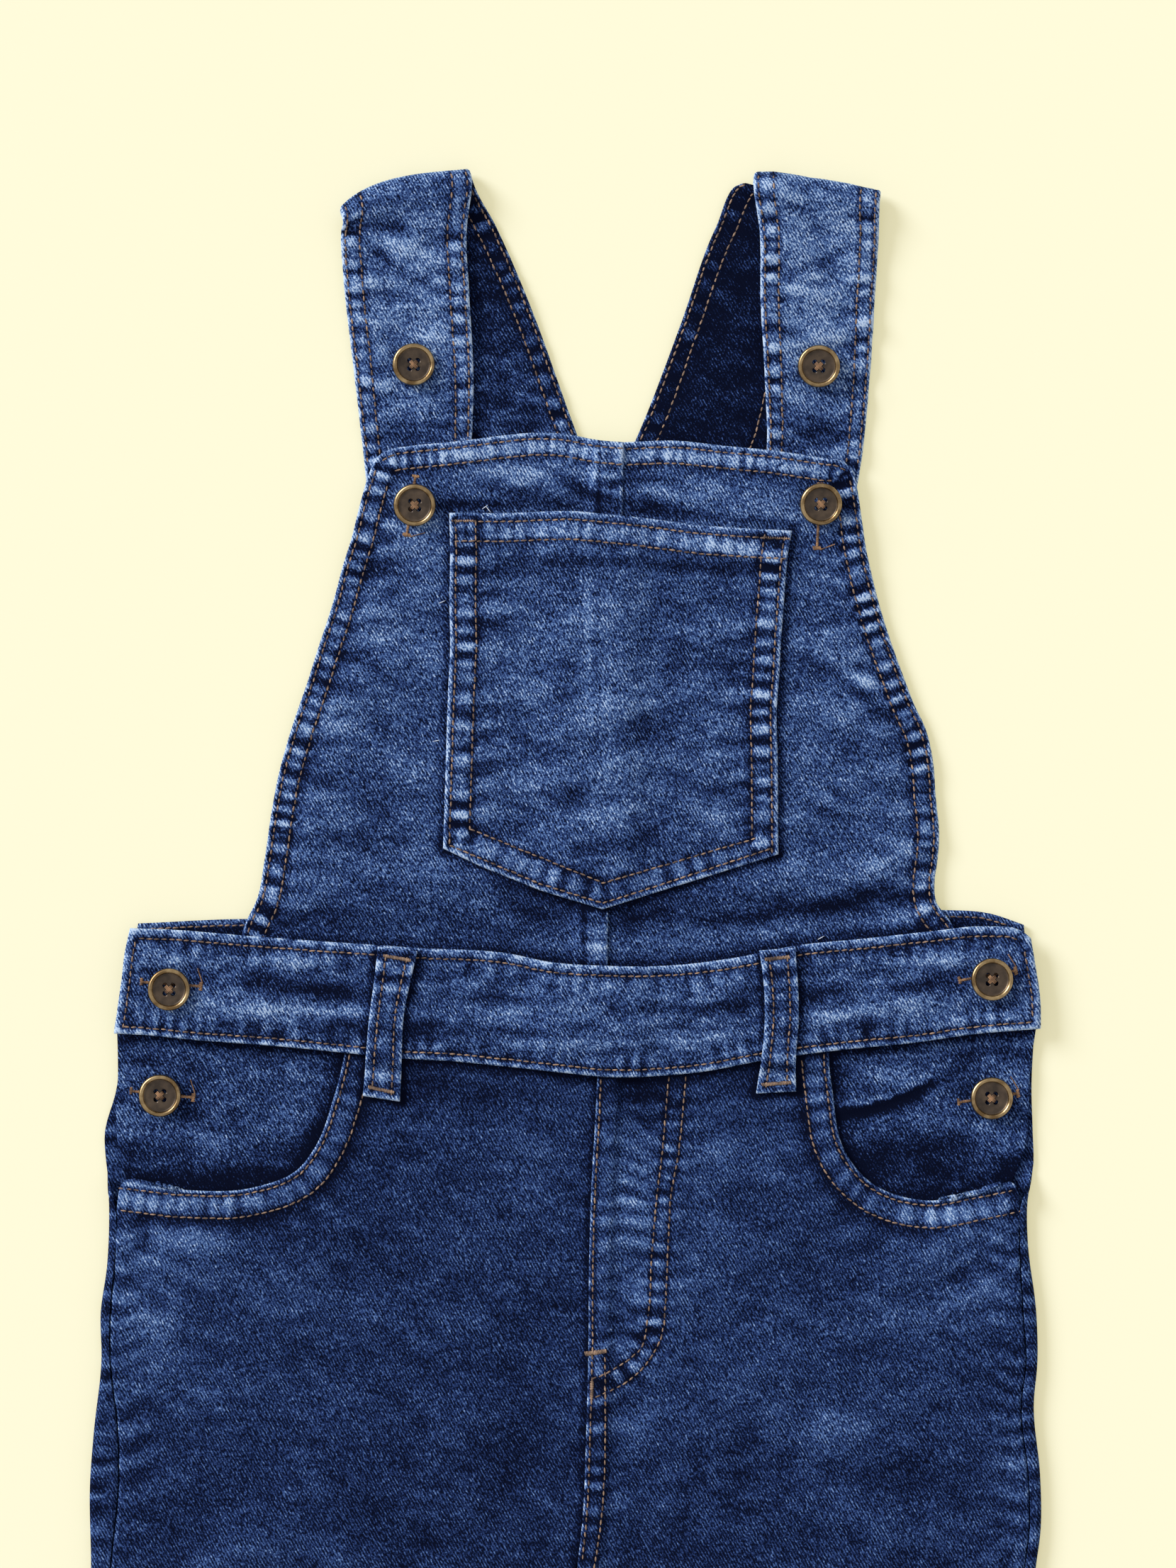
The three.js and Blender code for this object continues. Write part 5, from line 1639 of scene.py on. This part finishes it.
    def _right_side(self) -> list:
        """The fly, the lap of the centre seam, and the wash marks, rubbed folds and painted shade of the
        right leg.
        """
        lap = Line(CENTRE[:-1])
        outer = Line([
            (42.6, 200), (39.6, 170.3), (37.6, 159.5), (36.1, 134.8), (35.4, 121), (33.6, 107),
            (29.1, 98.8), (22.1, 92), (9.6, 86.2),
        ])
        inner = Line([
            (36.6, 200), (33.9, 170.3), (32.4, 157.5), (30.4, 134.8), (29.1, 114), (26.6, 103.5),
            (19.6, 97.8), (9.8, 93.2),
        ])
        crotch = Line([(13.9, 101.3), (14.1, 72), (13.4, 51.3), (10.4, 27.8), (7.6, 14)])
        edge = lap.beside(-1.4, 5)
        self.fly_rows = [outer, inner, crotch, edge]
        middle = Line([(23.5, 202), (22, 170), (20.5, 135), (19, 103)])
        below = Line([(11, 98), (10.8, 72), (10, 50), (7.6, 28)])

        def step(x: Array, y: Array) -> Array:
            """How much higher the lap lies."""
            return CENTRE_LAP * (1 - ramp(6, 10, lap.nearest(x, y)[0])) * ramp(6, 22, y)

        return [
            Step(step),
            TurnedEdge(lap, 7.5, 0.0, 0.9, 1.2, 0.55),
            *[Groove(row) for row in self.fly_rows],
            Pucker(middle, 9, 7, 9.6, 0.3, 0.22, 81, 0.1),
            Pucker(middle, 7, 7, 7.0, 0.16, 0.2, 86, -0.25),
            Pucker(middle.beside(-6), 5, 6, 8.0, 0.14, 0.24, 87, 0.3),
            Pucker(outer.beside(3), 2.2, 13, 8.4, 0.2, 0.34, 82, 0.2),
            Pucker(outer.beside(3), 2.4, 1, 6.2, 0.2, 0.5, 83),
            Pucker(below, 3.2, 1.6, 6.6, 0.28, 0.7, 84),
            Pucker(below, 5, 11, 8.0, 0.16, 0.26, 85, 0.3),
            # wash marks and rubbed folds, with painted shade under the waistband and along the leg's side
            WashAndShadePatch(24, 193, 13, 5, -0.9), WashAndShadePatch(25, 150, 13, 44, 0.55), WashAndShadePatch(62, 172, 18, 10, 0.3),
            WashAndShadePatch(142, 146, 16, 4, 0.5, 12), WashAndShadePatch(115, 114, 24, 6, 0.3, 8), WashAndShadePatch(92, 78, 22, 8, 0.3, -4),
            WashAndShadePatch(126, 62, 20, 7, -0.25), WashAndShadePatch(157, 60, 6, 12, 0.4), WashAndShadePatch(163, 120, 4, 26, -0.4),
            WashAndShadePatch(134, 150.5, 28, 4, 0.7, 5), WashAndShadePatch(148, 122, 20, 14, 0.25),
            Fold(148, 139, 32, 20, 2.2, 0.45, 0.5), Fold(140, 131, 36, 18, 2, -0.3, 0.35),
            Fold(146, 124, 34, 22, 2.2, 0.4, 0.4), WashAndShadePatch(52, 140, 8, 26, 0.25),
            WashAndShadePatch(60, 197, 24, 4, -0.35, 4), WashAndShadePatch(50, 40, 24, 30, -0.15), WashAndShadePatch(70, 110, 16, 10, 0.1),
            WashAndShadePatch(34, 82, 12, 5, 0.3, 30), WashAndShadePatch(24, 70, 8, 12, 0.15), WashAndShadePatch(85, 196, 5, 10, 0.4),
            PaintedShadowOrRubLine(outer.beside(-7), 7, 0.12),
        ]

    def _facing(self, side: Side) -> Panel:
        """What shows inside one hip pocket."""
        if side is Side.LEFT:
            left = Line([
                (-158.4, 218), (-158, 200), (-158.6, 182), (-157.4, 171), (-154.6, 161), (-153.6, 151),
            ])
            right = Line([(-64, 213.8), (-67, 198), (-72, 178), (-78, 164), (-88, 154), (-98, 146)])
            extra = [
                # wash marks, with painted shade along the pocket opening
                WashAndShadePatch(-137, 178, 16, 6, 0.25, -12), WashAndShadePatch(-124, 164.5, 32, 4.5, -1.0, 2),
                WashAndShadePatch(-90, 177, 9, 4, -0.9, 65), WashAndShadePatch(-112, 186, 14, 3, 0.2, -34),
                WashAndShadePatch(-118, 204, 30, 3, 0.15, -3), WashAndShadePatch(-154, 172, 5, 5, -0.6),
                WashAndShadePatch(-148, 205, 8, 1.6, -0.5, -4), WashAndShadePatch(-100, 196, 9, 6, 0.1),
            ]
        else:
            left = Line([(80, 213.4), (81, 198), (84, 182), (92, 164), (100, 155), (110, 146)])
            right = Line([(166.4, 217.6), (164.2, 202), (163.6, 186), (162.4, 174), (158.6, 164), (156, 153)])
            extra = [
                # a pleat with a painted shadow in its drop, and painted shade and wash marks round it
                Pleat(
                    Line([(90, 186.6), (103, 188.8), (114.4, 191.8), (122, 194.8), (131, 199.8)]),
                    0.9, 8, 1.2, 0.65,
                ),
                WashAndShadePatch(98, 187, 9, 2.6, -1.1, 8), WashAndShadePatch(118, 171, 22, 8, -0.75, 4),
                WashAndShadePatch(120, 201, 18, 4, 0.35, 8), WashAndShadePatch(150, 181, 9, 5, 0.4, 20), WashAndShadePatch(158, 167, 6, 4, -0.8),
                WashAndShadePatch(128, 196.5, 10, 1.5, -0.5, 14), WashAndShadePatch(112, 188.5, 12, 1.5, -0.6, 15),
                WashAndShadePatch(146, 207, 18, 1.5, -0.5, 4), WashAndShadePatch(140, 166, 14, 4, -0.5, 4),
            ]
        top = Line([left.points[0], right.points[0]])
        bottom = Line([left.points[-1], right.points[-1]])
        features = [
            Sway(20, 0.12, 0.12, side.pick(91, 92)),
            Sway(8, 0.03, 0.08, 93),
            # painted shadows under the waistband and under the edge of the pocket opening
            PaintedShadowOrRubLine(Line(BAND_BOTTOM), 2.4, -0.9),
            PaintedShadowOrRubLine(self.mouths[side], 3.4, -1.0),
            *extra,
        ]
        return Panel(Cut(left, right, top, bottom), Skin(lambda x, y: Height.FACING, features))

    def build(self) -> None:
        """Builds the legs' objects."""
        cloth = self.wardrobe
        shown = np.linspace(0, 0.3, 170)
        along = np.concatenate([shown, np.linspace(0.3, 1, 90)[1:]])
        for side in Side:
            back = f"leg_back_{side}_cloth"
            front = sheet(f"leg_front_{side}", (0.178, 0.733), 0.0988, back)
            facing = sheet(f"facing_{side}", (0.095, 0.072), 0.0059, back)
            self.fronts[side].build(front, gathered(118, 0.35), along, cloth.legs)
            self.facings[side].build(facing, gathered(80, 0.2), gathered(62, 0.2), cloth.facing)
            self._back(side)

    def _back(self, side: Side) -> None:
        """The back of one leg, flat underneath, its outer side rolled up and over to the side seam."""
        sign = side.sign
        rows = side.pick(SIDE_LEFT, SIDE_RIGHT)
        columns = curve(rows, 3.0)
        columns[:, 3] = np.clip(columns[:, 3], 0, 1)
        inseam = side.pick(INSEAM_LEFT, INSEAM_RIGHT)
        inner = np.array([*[(x + sign * CLEAR, y) for x, y in CENTRE[:-1]], *inseam])
        heights = np.linspace(0, 1, len(columns))
        edge_y = columns[:, 1]
        inner_y = np.minimum(edge_y, 211.1)
        inner_x = np.interp(-inner_y, -inner[:, 1], inner[:, 0])
        flat_part, roll_part, top_part = (np.linspace(0, 1, count) for count in (22, 15, 6))
        across = np.concatenate([flat_part, 1 + roll_part[1:], 2 + top_part[1:]])
        mesh, s, t = grid(f"leg_back_{side}", across, np.linspace(0, 1, 220))

        def at(values: Array) -> Array:
            """What the table of the side seam gives at each vertex."""
            return np.interp(t, heights, values)

        edge_x, level, seam, roll = at(columns[:, 0]), at(edge_y), at(columns[:, 2]), at(columns[:, 3])
        start_x, start_y = at(inner_x), at(inner_y)
        bend = math.pi * ROLL
        full = np.maximum(roll, 0.01)
        radius = ROLL / full
        out_most = radius * np.sin(np.minimum(np.pi * full, np.pi / 2))
        foot = edge_x - sign * np.where(roll > 0.01, out_most, bend)
        length = np.clip(s - 1, 0, 1) * bend
        beyond = np.clip(s - 2, 0, 1) * np.maximum(SEAM_GAP, seam - ROLL)
        turn = np.pi * full * length / bend
        out = np.where(roll > 0.01, radius * np.sin(turn) + beyond * np.cos(np.pi * full), length + beyond)
        up = np.where(roll > 0.01, radius * (1 - np.cos(turn)) + beyond * np.sin(np.pi * full), 0)
        flat = s <= 1
        x = np.where(flat, start_x + (foot - start_x) * s, foot + sign * out)
        y = np.where(flat, start_y + (level - start_y) * s, level)
        z = np.where(flat, 0, up)
        mark = Pucker(Line([row[:2] for row in rows]), 3, 8, 8, 0.0, 0.6, side.pick(95, 96))
        wear_and_shade = mark.relief(x, y)[1] + 0.12
        put(mesh, np.column_stack([x, y, z]), wear_and_shade)
        made = finish(sheet(f"leg_back_{side}", (0.188, 0.738), 0.1105), mesh, self.wardrobe.legs)
        if side is Side.RIGHT:
            mesh.flip_normals()
        thicken(made, 1.2)


@dataclass
class Straps:
    """The two straps, each folded over at the shoulder."""

    FRONT = {
        "left": [
            ((-66, 381.8, 1.5), (-34, 381.8, 1.8)), ((-69.5, 402, 1.7), (-33.4, 404, 3)),
            ((-71.1, 417, 1.8), (-33.1, 421, 3.7)), ((-74.5, 446.5, 2), (-32.4, 446.5, 4.3)),
            ((-77.9, 476.3, 2.8), (-33.9, 476.3, 4.9)), ((-79.2, 495, 4), (-34.8, 498, 5.4)),
        ],
        "right": [
            ((68.5, 381.8, 1.8), (98, 381.8, 1.5)), ((70, 404, 3), (102, 402, 1.7)),
            ((71.1, 421, 3.7), (104.6, 417, 1.8)), ((70.4, 446.5, 4.3), (107.6, 446.5, 2)),
            ((68.9, 473, 4.9), (109.2, 473, 2.8)), ((68.5, 498, 5.4), (110.6, 496, 4)),
        ],
    }
    FOLD = {"left": ((-79.6, 505.5), (-34, 520)), "right": ((66.8, 518.6), (111.4, 512.5))}
    BOW = {"left": 5.2, "right": 1.2}  # how far the fold's middle stands out beyond its ends
    INSIDE = {"left": (-1.3, 0.5), "right": (-1.5, 0.0)}  # tone of the inner side, and what its foot adds
    BACK = {
        "left": [
            ((-67.5, 484, 1), (-24.6, 500, 1)), ((-50.6, 454.2, 1), (-11.5, 469.5, 1)),
            ((-39.5, 424, 1), (2, 432, 1)), ((-29.5, 400.8, 1), (13.7, 400.8, 1)),
        ],
        "right": [
            ((61.8, 514.5, 1), (107, 502, 1)), ((53, 499, 1), (95, 484, 1)),
            ((40.5, 464.5, 1), (79.5, 449, 1)), ((27.5, 430.5, 1), (72, 419, 1)),
            ((14.3, 400.8, 1), (60, 400.8, 1)),
        ],
    }
    wardrobe: Wardrobe
    tan: Sewing
    radius: float = 2.4  # of the middle layer where it turns over
    rows: tuple[float, float] = (1.5, 6.4)  # how far in from its edges the stitch rows lie
    hidden: float = 36  # how much of the front end lies under the bib and is left unsewn

    def __post_init__(self) -> None:
        """Lays the strips out."""
        self.strips = {side: self._strip(side) for side in Side}

    def _fold_rows(self, side: Side) -> list:
        """The sections where a strap turns over."""
        first, second = (np.array([*end, 0.0]) for end in self.FOLD[side])
        outward = np.cross([0, 0, 1], second - first)
        outward /= np.linalg.norm(outward)
        centre = self.radius + 1.0
        rows = []
        for degrees in (80, 40, 0, -45, -90):
            turn = math.radians(degrees)
            shift = outward * (self.radius * math.cos(turn) - centre)
            up = np.array([0, 0, 1.0 + self.radius * (1 + math.sin(turn))])
            rows.append((tuple(first + shift + up), tuple(second + shift + up)))
        shift = outward * (-centre - 2) + np.array([0, 0, 1.0])
        rows.append((tuple(first + shift), tuple(second + shift)))
        return rows

    def _strip(self, side: Side) -> Strip:
        """One strap with its features, and its rows sewn."""
        strip = Strip([*self.FRONT[side], *self._fold_rows(side), *self.BACK[side]], Skin(lambda u, v: 0.0))
        width, length = strip.width, strip.length
        fold_at = float(strip.along[np.argmax(strip.first[:, 1] + strip.second[:, 1])])
        strip.bow, strip.fold_at = self.BOW[side], fold_at

        def lines(*places: float) -> list[Line]:
            """Lines down the strap at distances across it."""
            return [Line([(u, 0), (u, length)], step=60) for u in places]

        near, far = self.rows
        sewn = lines(near, far, width - far, width - near)
        bands = lines(3.9, width - 3.9)
        seed = side.pick(101, 111)
        strip.skin.features += [
            *[TurnedEdge(edge, 6.6, 0.0, 1.05, 1.2, 0.0) for edge in lines(0, width)],
            *[Groove(line, 0.16) for line in sewn],
            *[Pucker(band, 2.4, 1.2, 6.6, 0.26, 0.62, seed + i) for i, band in enumerate(bands)],
            *[Pucker(band, 3, 10, 10, 0.2, 0.24, seed + 4 + i, 0.3) for i, band in enumerate(bands)],
            Sway(16, 0.25, 0.14, seed + 8, (1.4, 1.0)),
            Sway(7, 0.06, 0.12, seed + 9),
            StrapInside(fold_at, self.INSIDE[side]),
            # painted shade on the strap where it comes out from under the bib's top edge
            WashAndShadePatch(width / 2, 46, 18, 9, -0.7),
            WashAndShadePatch(width / 2, 96, 14, 20, 0.2),
            WashAndShadePatch(width * 0.3, 66, 10, 3, -0.4, -20),
            *self._creases(side, fold_at),
        ]
        for line in sewn:
            self.tan.row(strip, line, self.hidden, fold_at - 3)
            self.tan.row(strip, line, fold_at + 5, length - 4)
        return strip

    @staticmethod
    def _creases(side: Side, fold_at: float) -> list:
        """Creases before the fold."""
        if side is Side.LEFT:
            return [
                Fold(14, fold_at - 15, -10, 15, 1.8, -0.25, 0.9),
                Fold(15, fold_at - 19, -20, 18, 1.6, 0.25, 0.35),
                Fold(15, fold_at - 25, -38, 22, 1.8, -0.3, 1.0),
                Fold(21, fold_at - 29, -42, 22, 1.5, 0.2, 0.3),
                Fold(12, fold_at - 33, -24, 14, 1.8, 0.3, 0.3),
                Fold(13, fold_at - 38, -14, 14, 1.6, -0.2, 0.6),
                Fold(28, fold_at - 42, 4, 22, 2.2, 0.25, 0.15), WashAndShadePatch(24, fold_at - 6, 20, 6, -0.4),
            ]
        return [
            Fold(26, fold_at - 22, 16, 18, 2.0, 0.25, 0.3), Fold(24, fold_at - 28, 22, 16, 2.0, -0.2, 0.4),
            Fold(14, fold_at - 40, -12, 20, 2.2, 0.25, 0.3), Fold(30, fold_at - 56, 8, 14, 1.8, 0.25, 0.35),
        ]

    def build(self) -> None:
        """Builds the straps' objects."""
        for side, strip in self.strips.items():
            flat = (strip.width * MM, strip.length * MM)
            area = 0.99 * strip.width * strip.length * MM**2
            piece = sheet(f"strap_{side}", flat, area, slot="denim_inside")
            strip.build(piece, gathered(44, 0.5), np.linspace(0, 1, 250), self.wardrobe.strap)


@dataclass(frozen=True)
class Button:
    """Where one button is, the cloth it lies on, and how its buttonhole runs."""

    name: str
    x: float
    y: float
    cloth: str
    hole: tuple | None = None
    tilt: tuple = (0.0, 0.0)


@dataclass
class Fastenings:
    """Eight metal buttons with their thread, and the buttonholes."""

    PROFILE = [
        (0, 0), (5.4, 0), (7.0, 0.7), (7.5, 1.5), (7.42, 2.1), (7.05, 2.6), (6.6, 2.75), (6.15, 2.6),
        (5.85, 2.2), (5.7, 1.75), (5.3, 1.62), (4.6, 1.7), (3.6, 1.58), (2.9, 1.5), (0, 1.5),
    ]
    BUTTONS = [
        Button("strap_left", -53.5, 450.6, "strap_left", None, (0, 3)),
        Button("strap_right", 89.4, 450.1, "strap_right", None, (7, -3)),
        Button("bib_left", -52.9, 401, "bib_left", ((-52.9, 411.3), (-55.9, 390.6)), (4, -4)),
        Button("bib_right", 89.9, 401.4, "bib_right", ((89.8, 408.5), (88.8, 386)), (8, 3)),
        Button("waist_left", -139.4, 230.5, "band", ((-149.3, 233), (-128.4, 231.5)), (0, 0)),
        Button("waist_right", 150.1, 234, "band", ((138.9, 233.5), (158.6, 237)), (0, 2)),
        Button("hip_left", -143, 192.8, "facing_left", ((-153.4, 194.3), (-131.4, 192)), (0, 0)),
        Button("hip_right", 150.4, 191.9, "facing_right", ((138.9, 190.3), (159.8, 193.5)), (0, 0)),
    ]

    wardrobe: Wardrobe
    cloths: dict
    holes: Sewing
    spread: float = 1.42  # how far the sewing holes lie from the button's axes
    bore: float = 0.88  # their radius
    face: float = 5.6  # radius of the sunk face, which has a finish of its own

    def __post_init__(self) -> None:
        """Makes the one button that all are copied from."""
        self.template = self._template()

    def _template(self) -> bpy.types.Mesh:
        """One button in millimetres, spun from its profile, with its holes cut out."""
        shape = bmesh.new()
        spots = [shape.verts.new((r, 0, z)) for r, z in self.PROFILE]
        edges = [shape.edges.new(pair) for pair in zip(spots, spots[1:])]
        bmesh.ops.spin(
            shape, geom=spots + edges, cent=(0, 0, 0), axis=(0, 0, 1), angle=2 * math.pi, steps=48,
            use_merge=True,
        )
        bmesh.ops.remove_doubles(shape, verts=shape.verts, dist=1e-4)
        bmesh.ops.recalc_face_normals(shape, faces=shape.faces)
        body = added("button_template", meshed(shape, "button_template"))
        drill = self._drill()
        cut = body.modifiers.new("holes", "BOOLEAN")
        cut.object, cut.operation, cut.solver = drill, "DIFFERENCE", "EXACT"
        made = bpy.data.meshes.new_from_object(body.evaluated_get(bpy.context.evaluated_depsgraph_get()))
        for spare in (body, drill):
            bpy.data.objects.remove(spare)
        return made

    def _drill(self) -> bpy.types.Object:
        """Four round bars where the sewing holes go."""
        shape = bmesh.new()
        for x, y in ((-1, -1), (1, -1), (-1, 1), (1, 1)):
            where = Matrix.Translation((x * self.spread, y * self.spread, 1.0))
            bmesh.ops.create_cone(
                shape, cap_ends=True, segments=14, radius1=self.bore, radius2=self.bore, depth=6, matrix=where
            )
        return added("drill", meshed(shape, "drill"))

    def _seat(self, button: Button) -> Matrix:
        """Where a button's back lies, in millimetres."""
        cloth = self.cloths[button.cloth]
        if isinstance(cloth, Strip):
            span = np.linspace(30, 130, 400)
            spots = cloth.point(np.full(span.shape, cloth.width / 2), span)
            along = span[np.argmin(np.abs(spots[:, 1] - button.y))]
            middle = cloth.point(np.array([0.0, cloth.width]), np.array([along, along]))
            share = (button.x - middle[0][0]) / (middle[1][0] - middle[0][0])
            height = cloth.point(np.array([share * cloth.width]), np.array([along]))[0][2] + cloth.ply / 2
        else:
            ring = np.linspace(0, 2 * np.pi, 13)[:-1]
            height = cloth.skin(button.x + 4.5 * np.cos(ring), button.y + 4.5 * np.sin(ring))[0].max()
        turn = Euler([math.radians(a) for a in button.tilt] + [0]).to_matrix().to_4x4()
        lift = 0.35 + 0.12 * max(abs(a) for a in button.tilt)
        return Matrix.Translation((button.x, button.y, float(height) + lift)) @ turn

    def _buttonhole(self, cloth: Panel | Strip, start: Array, end: Array) -> None:
        """Sews a narrow hole with a bar tack at each end and a loose thread beside the second one.

        Args:
            cloth: what it is sewn in.
            start, end: where it runs from and to.
        """
        along = (end - start) / np.linalg.norm(end - start)
        aside = np.array([-along[1], along[0]])
        for line, width in (
            (Line([start, end]), 1.2),
            (Line([start - 1.1 * aside, start + 1.3 * aside]), 1.3),
            (Line([end - 1.5 * aside, end + 1.4 * aside]), 1.7),
        ):
            self.holes.satin(cloth, line, width, 0.42, 0.25)
        loose = Line([end + 1.2 * aside + 0.5 * along, end + 6.2 * aside - 1.6 * along])
        self.holes.satin(cloth, loose, 0.5, 0.5, 0.25)

    def build(self) -> None:
        """Builds the buttons, their thread and the buttonholes."""
        scale = Matrix.Scale(MM, 4)
        thread = Sewing("button_thread")
        for button in self.BUTTONS:
            seat = self._seat(button)
            mesh = self.template.copy()
            mesh.name = f"button_{button.name}_metal"
            mesh.transform(scale @ seat)
            radii = np.array([math.hypot(p.center.x, p.center.y) for p in self.template.polygons])
            mesh.polygons.foreach_set("material_index", (radii < self.face).astype(np.int32))
            piece = Piece(mesh.name, "antique_brass", (f"button_{button.name}",))
            finish(piece, mesh, self.wardrobe.rim, self.wardrobe.face)
            for turn in (45, -45):
                for aside in (-0.42, 0.0, 0.42):
                    spin = Matrix.Rotation(math.radians(turn), 4, "Z")
                    arch = Matrix.Translation((0, aside, 1.72 + (0.18 if turn < 0 else 0.0)))
                    thread.stitch(seat @ spin @ arch, (2.0, 0.26, 0.3))
            if button.hole:
                self._buttonhole(self.cloths[button.cloth], *(np.array(end) for end in button.hole))
        thread.build(Piece("button_thread", THREAD_SLOT), self.wardrobe.brown)
        self.holes.build(Piece("buttonhole_thread", THREAD_SLOT), self.wardrobe.brown)


@dataclass
class Studio:
    """The surface, the light and the camera, in metres."""

    camera_height: float = 1.5
    centre: tuple[float, float] = (0.008, 0.30275)  # what lies in the middle of the picture
    view_height: float = 0.553  # how much the picture shows from top to bottom
    floor_gap: float = 0.0004  # how far under the garment the floor lies

    def build(self) -> None:
        """Sets the scene up round the garment."""
        self._floor()
        self._light()
        self._camera()

    def _floor(self) -> None:
        """A sheet of pale yellow paper, evenly bright as in the photo."""
        shape = bmesh.new()
        bmesh.ops.create_grid(shape, x_segments=1, y_segments=1, size=3.0)
        floor = added("floor", meshed(shape, "floor"))
        floor.location.z = -self.floor_gap
        n = Node("pale_yellow_paper")
        paper = n.surface({
            "Base Color": linear("bcbeb8"), "Roughness": 1.0, "Specular IOR Level": 0.0,
            "Emission Color": linear("fff2ae"), "Emission Strength": 0.483,
        })
        floor.data.materials.append(paper)

    @staticmethod
    def _light() -> None:
        """A wide soft light from the upper left, and an even one from all round."""
        lamp = bpy.data.lights.new("key", "SUN")
        lamp.energy, lamp.angle = 2.95, math.radians(25)
        key = added("key", lamp)
        key.rotation_euler = Vector((1.5, -1.0, -1.0)).to_track_quat("-Z", "Y").to_euler()
        world = bpy.data.worlds.new("studio")
        world.use_nodes = True
        back = world.node_tree.nodes["Background"]
        back.inputs[0].default_value = (1, 1, 1, 1)
        back.inputs[1].default_value = 0.6
        bpy.context.scene.world = world

    def _camera(self) -> None:
        """The camera straight above the garment."""
        lens = bpy.data.cameras.new("camera")
        lens.sensor_width = 36
        lens.lens = lens.sensor_width * self.camera_height / self.view_height
        lens.clip_end = 10
        camera = added("camera", lens)
        camera.location = (*self.centre, self.camera_height + 0.005)
        bpy.context.scene.camera = camera
        bpy.context.scene.view_settings.view_transform = "Standard"
        bpy.context.scene.view_settings.look = "None"


def loose_ends(wardrobe: Wardrobe, cloths: dict) -> None:
    """A few short ends of pale thread, as the photo shows."""
    pale = Sewing("loose_ends")
    ends = [
        ("bib_left", -28.3, 400.4, 0.6), ("bib_left", -27.0, 399.4, -0.9), ("bib_left", -45.5, 318, 0.2),
        ("bib_right", 90.2, 248.5, 0.5), ("bib_left", -43.4, 367, 0.4),
    ]
    for name, x, y, turn in ends:
        pale.stitch(cloths[name].lie(x, y, turn, sink=-0.2)[0], (1.5, 0.16, 0.16))
    pale.build(Piece("loose_thread", THREAD_SLOT), wardrobe.white)


def main() -> None:
    """Builds the scene piece by piece."""
    wardrobe = Wardrobe()
    tan = Sewing("tan_stitching")
    legs = Legs(wardrobe, tan)
    bib = Bib(wardrobe, tan)
    waist = Waist(wardrobe, tan, legs)
    straps = Straps(wardrobe, tan)
    for part in (legs, straps, bib, waist):
        part.build()
    cloths = {
        "strap_left": straps.strips["left"], "strap_right": straps.strips["right"], "bib_left": bib.left,
        "bib_right": bib.right, "band": waist.band, "facing_left": legs.facings["left"],
        "facing_right": legs.facings["right"],
    }
    Fastenings(wardrobe, cloths, Sewing("buttonholes")).build()
    loose_ends(wardrobe, cloths)
    tan.build(Piece("tan_stitching", THREAD_SLOT), wardrobe.thread)
    Studio().build()


if __name__ == "__main__":
    main()
